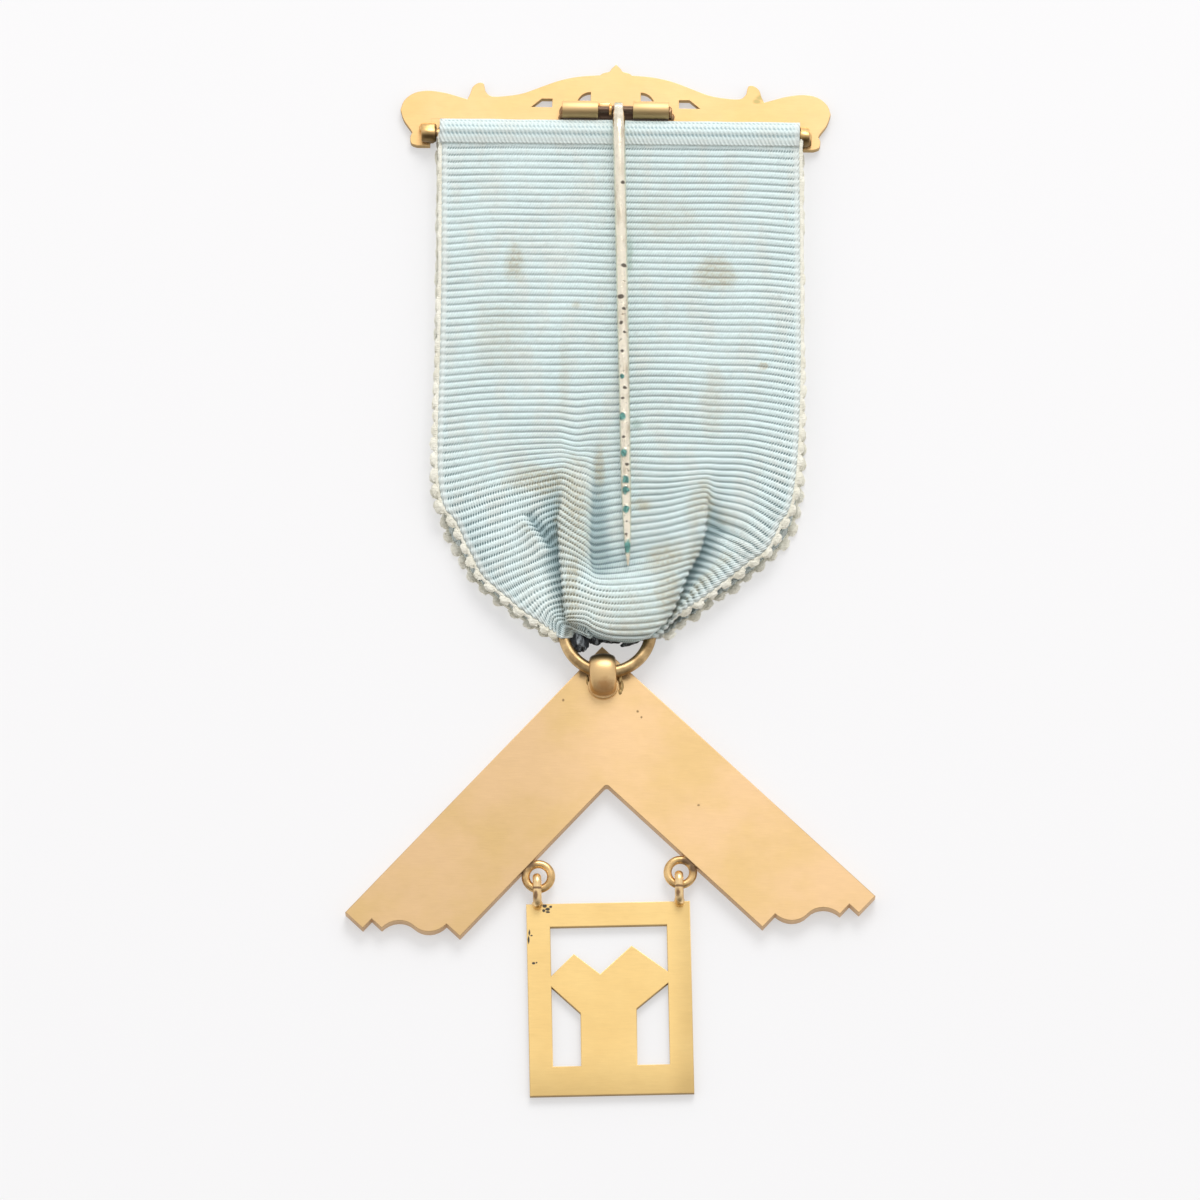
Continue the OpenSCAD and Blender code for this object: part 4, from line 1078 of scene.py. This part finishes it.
def rib_colour(tree, place, sharp, hem, shaded, painted_fold_shade):
    """Colour of the ribs, faded in streaks and flecks, and deeper blue in the folds, partly painted shade and
    partly less faded cloth, with painted shade beside the two folds.
    """
    streaks = noise_at(tree, stretched(tree, place, (1.0, 0.4, 1.0)), 520, 4, 0.6)
    crest = mixed(tree, stepped(tree, streaks, 0.42, 0.68), (0.825, 0.96, 0.945, 1), (0.83, 0.90, 0.855, 1))
    flecks = stepped(tree, noise_at(tree, place, 5600, 3), 0.5, 0.66, 0.0, 0.55)
    crest = mixed(tree, flecks, crest, (0.50, 0.58, 0.56, 1))
    crest = mixed(tree, times(tree, sharp, 0.22), crest, (0.52, 0.64, 0.64, 1))
    crest = mixed(tree, times(tree, hem, 0.3), crest, (0.60, 0.70, 0.68, 1))
    crest = mixed(tree, times(tree, shaded, 0.66), crest, (0.30, 0.44, 0.465, 1))
    return mixed(tree, times(tree, painted_fold_shade, 0.25), crest, (0.27, 0.40, 0.44, 1))


def stain_mask(tree, place, deep, hem, fading):
    """Beige stains, fainter ones, and soil on the worn ridges."""
    stain = spots(tree, place, STAINS, 700, 0.4, 0.55)
    worn = times(tree, stepped(tree, deep, -0.1, -0.4), stepped(tree, fading, 0.33, 0.55))
    worn = times(tree, worn, minus(tree, 0.75, hem, clamp=True))
    faint = times(tree, spots(tree, place, FAINT_STAINS, 700, 0.4, 0.7), 0.45)
    return larger(tree, larger(tree, stain, worn), faint)


def ribbon_material():
    """Faded ribbed silk: grooves painted dark as shade and broken into ticks of thread, a deeper blue in the
    folds that is partly painted shade, beige stains.
    """
    material, tree, shader = new_material("ribbed_ribbon_silk")
    place = object_place(tree)
    flat = node(tree, "SeparateXYZ", {0: node(tree, "UVMap", uv_map="cloth").outputs[0]})
    across, down = flat.outputs["X"], flat.outputs["Y"]
    wander = times(tree, minus(tree, noise_at(tree, place, 500, 2), 0.5), 0.09 * MM)
    ribs = calc(tree, "FRACT", calc(tree, "DIVIDE", plus(tree, down, wander), RIB_PITCH * MM))
    from_crest = times(tree, calc(tree, "ABSOLUTE", minus(tree, ribs, 0.5)), 2.0)
    hem = stepped(tree, down, (1.2 - RIB_START) * MM, (0.7 - RIB_START) * MM)
    coarse = larger(tree, hem, stepped(tree, down, (50 - RIB_START) * MM, (53 - RIB_START) * MM))
    ticks = thread_ticks(tree, place, across, down, coarse)
    sharp = stepped(tree, ticks, 0.3, 0.75)

    # Grooves between the ribs, painted dark as shade, wider and darker in the folds as more painted shade,
    # and fainter on the plain edges
    fading = noise_at(tree, place, 140, 4, 0.6)
    deep = node(tree, "Attribute", attribute_name="deep").outputs["Fac"]
    shaded = times(tree, stepped(tree, deep, -0.02, 0.5), minus(tree, 1.0, hem))
    painted_fold_shade = spots(tree, place, FOLD_SHADES, 500, 0.25, 0.7)
    width = plus(tree, from_crest, times(tree, painted_fold_shade, 0.22))
    width = plus(tree, width, times(tree, shaded, 0.1))
    line = stepped(tree, width, 0.66, 1.05)
    beside = stepped(tree, width, 0.5, 0.81)
    lower = stepped(tree, down, 24 * MM, 42 * MM)
    strength = plus(tree, stepped(tree, fading, 0.3, 0.62, 0.58, 0.9), times(tree, lower, 0.15))
    strength = times(tree, strength, minus(tree, 1.0, times(tree, hem, 0.35)))
    dark = larger(tree, times(tree, line, 0.4), times(tree, beside, sharp))
    dark = times(tree, dark, plus(tree, strength, times(tree, shaded, 0.2)), clamp=True)
    from_edge = calc(tree, "MINIMUM", across, minus(tree, RIBBON_WIDTH * MM, across))
    selvedge = stepped(tree, from_edge, 0.75 * MM, 0.35 * MM)
    seam = stepped(tree, down, (SEAM_FROM + 0.1 - RIB_START) * MM, (SEAM_FROM - 0.1 - RIB_START) * MM)
    plain = larger(tree, times(tree, selvedge, 0.75), times(tree, seam, 0.5))
    dark = times(tree, dark, minus(tree, 1.0, plain))

    crest = rib_colour(tree, place, sharp, hem, shaded, painted_fold_shade)
    groove_colour = mixed(tree, hem, (0.10, 0.175, 0.185, 1), (0.16, 0.31, 0.36, 1))
    colour = mixed(tree, dark, crest, groove_colour)

    # Stains over both, and the paler edges and seam
    stain = stain_mask(tree, place, deep, hem, fading)
    specks = stepped(tree, noise_at(tree, place, 3200, 2), 0.42, 0.62)
    soil = times(tree, stain, plus(tree, times(tree, specks, 0.42), 0.33))
    colour = mixed(tree, soil, colour, (0.54, 0.51, 0.37, 1))
    in_grooves = times(tree, times(tree, stain, dark), 0.8)
    colour = mixed(tree, in_grooves, colour, (0.165, 0.155, 0.105, 1))
    green = spots(tree, place, GREEN_STAINS, 700, 0.3, 0.5)
    colour = mixed(tree, times(tree, green, 0.45), colour, (0.30, 0.45, 0.38, 1))
    colour = mixed(tree, times(tree, selvedge, 0.6), colour, (0.80, 0.85, 0.81, 1))
    colour = mixed(tree, times(tree, seam, 0.35), colour, (0.76, 0.77, 0.71, 1))
    link(tree, colour, shader, "Base Color")
    shader.inputs["Roughness"].default_value = 0.6
    shader.inputs["Sheen Weight"].default_value = 0.2
    shader.inputs["Sheen Roughness"].default_value = 0.5
    fluff = times(tree, noise_at(tree, place, 5000, 2), 0.02)
    bump(tree, shader, plus(tree, times(tree, ticks, -0.05), fluff))
    return material


def thread_material():
    """Cream thread of the looped selvedges, a little soiled."""
    material, tree, shader = new_material("picot_cream_thread")
    place = object_place(tree)
    soil = stepped(tree, noise_at(tree, place, 420, 4, 0.6), 0.36, 0.66)
    colour = mixed(tree, soil, (0.95, 0.93, 0.81, 1), (0.84, 0.81, 0.67, 1))
    strands = noise_at(tree, stretched(tree, place, (0.3, 1.6, 1.0)), 5200, 3, 0.6)
    colour = mixed(tree, stepped(tree, strands, 0.5, 0.75, 0.0, 0.4), colour, (0.52, 0.50, 0.40, 1))
    link(tree, colour, shader, "Base Color")
    shader.inputs["Roughness"].default_value = 0.75
    shader.inputs["Sheen Weight"].default_value = 0.2
    bump(tree, shader, times(tree, strands, 0.12))
    return material


def outwards(grid, r, edge, inner):
    """The directions along a selvedge and out of it, at a row of the cloth."""
    along = grid[min(r + 4, len(grid) - 1)][edge] - grid[max(r - 4, 0)][edge]
    out = grid[r][edge] - grid[r][inner]
    return along.normalized(), (out - along * out.dot(along) / along.length_squared).normalized()


def row_at(grid, v_first, v):
    return round((v - v_first) / (NECK - v_first) * (len(grid) - 1))


def add_cord(bm, grid, v_first, edge, inner):
    """The cord along a selvedge that carries its loops."""
    cord = []
    for r in range(row_at(grid, v_first, CORD_FROM), row_at(grid, v_first, CORD_TO), 4):
        centre = grid[r][edge] + outwards(grid, r, edge, inner)[1] * 0.14
        centre.z = max(centre.z - 0.06, 0.2)
        cord.append((centre, 0.2, 0.2))
    add_swept(bm, cord, (0, 0, 1), 12)


def make_picots(name, grid, v_first, material):
    """Loops of thread, two ribs apart, on a cord along both selvedges of a layer."""
    bm = bmesh.new()
    for edge, inner in ((0, 1), (-1, -2)):
        add_cord(bm, grid, v_first, edge, inner)
        v = PICOTS_FROM
        while v < PICOTS_TO:
            r = row_at(grid, v_first, v)
            axis, out = outwards(grid, r, edge, inner)
            loose = clamped((v - 20) / 22)
            wild = noise.noise(Vector((v * 3.1, edge * 5.0, v_first)))
            size = (0.2 + 0.27 * loose + 0.13 * wild, 0.72 - 0.07 * loose + 0.16 * wild, 0.2 + 0.07 * loose)
            centre = grid[r][edge] + out * (0.22 + 0.12 * loose + 0.1 * wild)
            centre.z = max(centre.z - 0.06, 1.3 * size[2])
            # The loop's own axes: out of the selvedge, along it and up
            axes = [direction * reach for direction, reach in zip((out, axis, axis.cross(out)), size)]
            for vertex in bmesh.ops.create_icosphere(bm, subdivisions=3, radius=1)["verts"]:
                local = vertex.co * (1 + 0.32 * noise.noise(vertex.co * 2.1 + centre)
                                     + 0.16 * noise.noise(vertex.co * 6.5 - centre))
                vertex.co = (centre + axes[0] * local.x + axes[1] * local.y + axes[2] * local.z) * MM
            v += 2 * RIB_PITCH
    return add_round_piece(name, bm, material, "ribbon")


def shadowed_tuck_material():
    """The inner side of the cloth, painted near black as its shadow, with pale creases as painted highlights.
    """
    material, tree, shader = new_material("tucked_cloth_painted_shadow")
    place = object_place(tree)
    creases = noise_at(tree, stretched(tree, place, (1.0, 0.25, 0.6), 0.7), 1700, 5, 0.7)
    colour = mixed(tree, stepped(tree, creases, 0.5, 0.68), (0.02, 0.024, 0.028, 1), (0.42, 0.46, 0.48, 1))
    link(tree, colour, shader, "Base Color")
    shader.inputs["Roughness"].default_value = 0.7
    bump(tree, shader, times(tree, creases, 0.35))
    return material


def make_neck_tuck():
    """The crumpled cloth, painted as shadow, that shows where the ribbon goes through the ring and lies under
    its roll.
    """
    bm = bmesh.new()
    for place, size, turn in NECK_LUMPS:
        ball = bmesh.ops.create_icosphere(bm, subdivisions=4, radius=1)["verts"]
        for v in ball:
            x, y, z = v.co
            fold = noise.noise(Vector((x * 2.2 + y * 1.4, y * 0.7, z * 1.1 + place[0])))
            small_fold = abs(noise.noise(Vector((x * 5.5 + y * 3.5, y * 1.5, z * 2.0 - place[0]))))
            v.co *= 1 + 0.3 * fold - 0.45 * small_fold
        put_ball(bm, ball, place, size, turn)
    return add_round_piece("neck_tuck", bm, shadowed_tuck_material(), "ribbon")


def make_ribbon():
    silk = ribbon_material()
    thread = thread_material()
    back, back_grid = cloth("ribbon_back", BACK_GUIDES, back_place, BACK_FROM, rows_per_rib=6, columns=100,
                            outward=1, material=silk)
    front, front_grid = cloth("ribbon_front", FRONT_GUIDES, front_place, FRONT_FROM, rows_per_rib=4,
                              columns=60, outward=-1, material=silk)
    back_picots = make_picots("picots_back", back_grid, BACK_FROM, thread)
    front_picots = make_picots("picots_front", front_grid, FRONT_FROM, thread)
    make_neck_tuck()


# Room

def make_floor():
    material, tree, shader = new_material("pale_floor")
    shader.inputs["Base Color"].default_value = FLOOR_COLOUR
    shader.inputs["Roughness"].default_value = 0.7
    shader.inputs["Emission Color"].default_value = (1, 1, 1, 1)
    shader.inputs["Emission Strength"].default_value = FLOOR_GLOW
    bm = bmesh.new()
    bmesh.ops.create_grid(bm, x_segments=1, y_segments=1, size=FLOOR_HALF_SIZE)
    new_object("floor", bm, [material])


def make_key_light():
    light = bpy.data.lights.new("key", "AREA")
    light.shape = "DISK"
    light.size = KEY_SIZE
    light.energy = KEY_POWER
    lamp = bpy.data.objects.new("key", light)
    lamp.location = KEY_PLACE
    lamp.rotation_euler = (KEY_AIM - KEY_PLACE).to_track_quat("-Z", "Y").to_euler()
    bpy.context.collection.objects.link(lamp)


def make_sky():
    """A soft white studio, darker on the plate's side, so that the gold has something to reflect."""
    world = bpy.data.worlds.new("studio")
    world.use_nodes = True
    tree = world.node_tree
    background = tree.nodes["Background"]
    direction = node(tree, "SeparateXYZ", {0: node(tree, "TexCoord").outputs["Generated"]})
    towards_back = stepped(tree, direction.outputs["Y"], -0.95, -0.1)
    sky = mixed(tree, towards_back, (0.22, 0.2, 0.17, 1), (0.99, 0.985, 1.0, 1))
    link(tree, sky, background, "Color")
    background.inputs["Strength"].default_value = SKY_STRENGTH
    bpy.context.scene.world = world


def make_camera():
    back = Vector((math.sin(CAMERA_TURN) * math.sin(CAMERA_TILT),
                   -math.cos(CAMERA_TURN) * math.sin(CAMERA_TILT), math.cos(CAMERA_TILT)))
    camera = bpy.data.objects.new("camera", bpy.data.cameras.new("camera"))
    camera.data.lens = LENS_MM
    camera.data.sensor_width = SENSOR_MM
    camera.data.clip_start = 0.01
    camera.location = LOOK_AT + back * CAMERA_DISTANCE
    camera.rotation_euler = (-back).to_track_quat("-Z", "Y").to_euler()
    bpy.context.collection.objects.link(camera)
    bpy.context.scene.camera = camera
    bpy.context.scene.view_settings.view_transform = "Standard"


make_camera()
make_floor()
make_key_light()
make_sky()
make_bar_pieces()
make_square_pieces()
make_plate_pieces()
make_jump_ring()
make_pin()
make_ribbon()
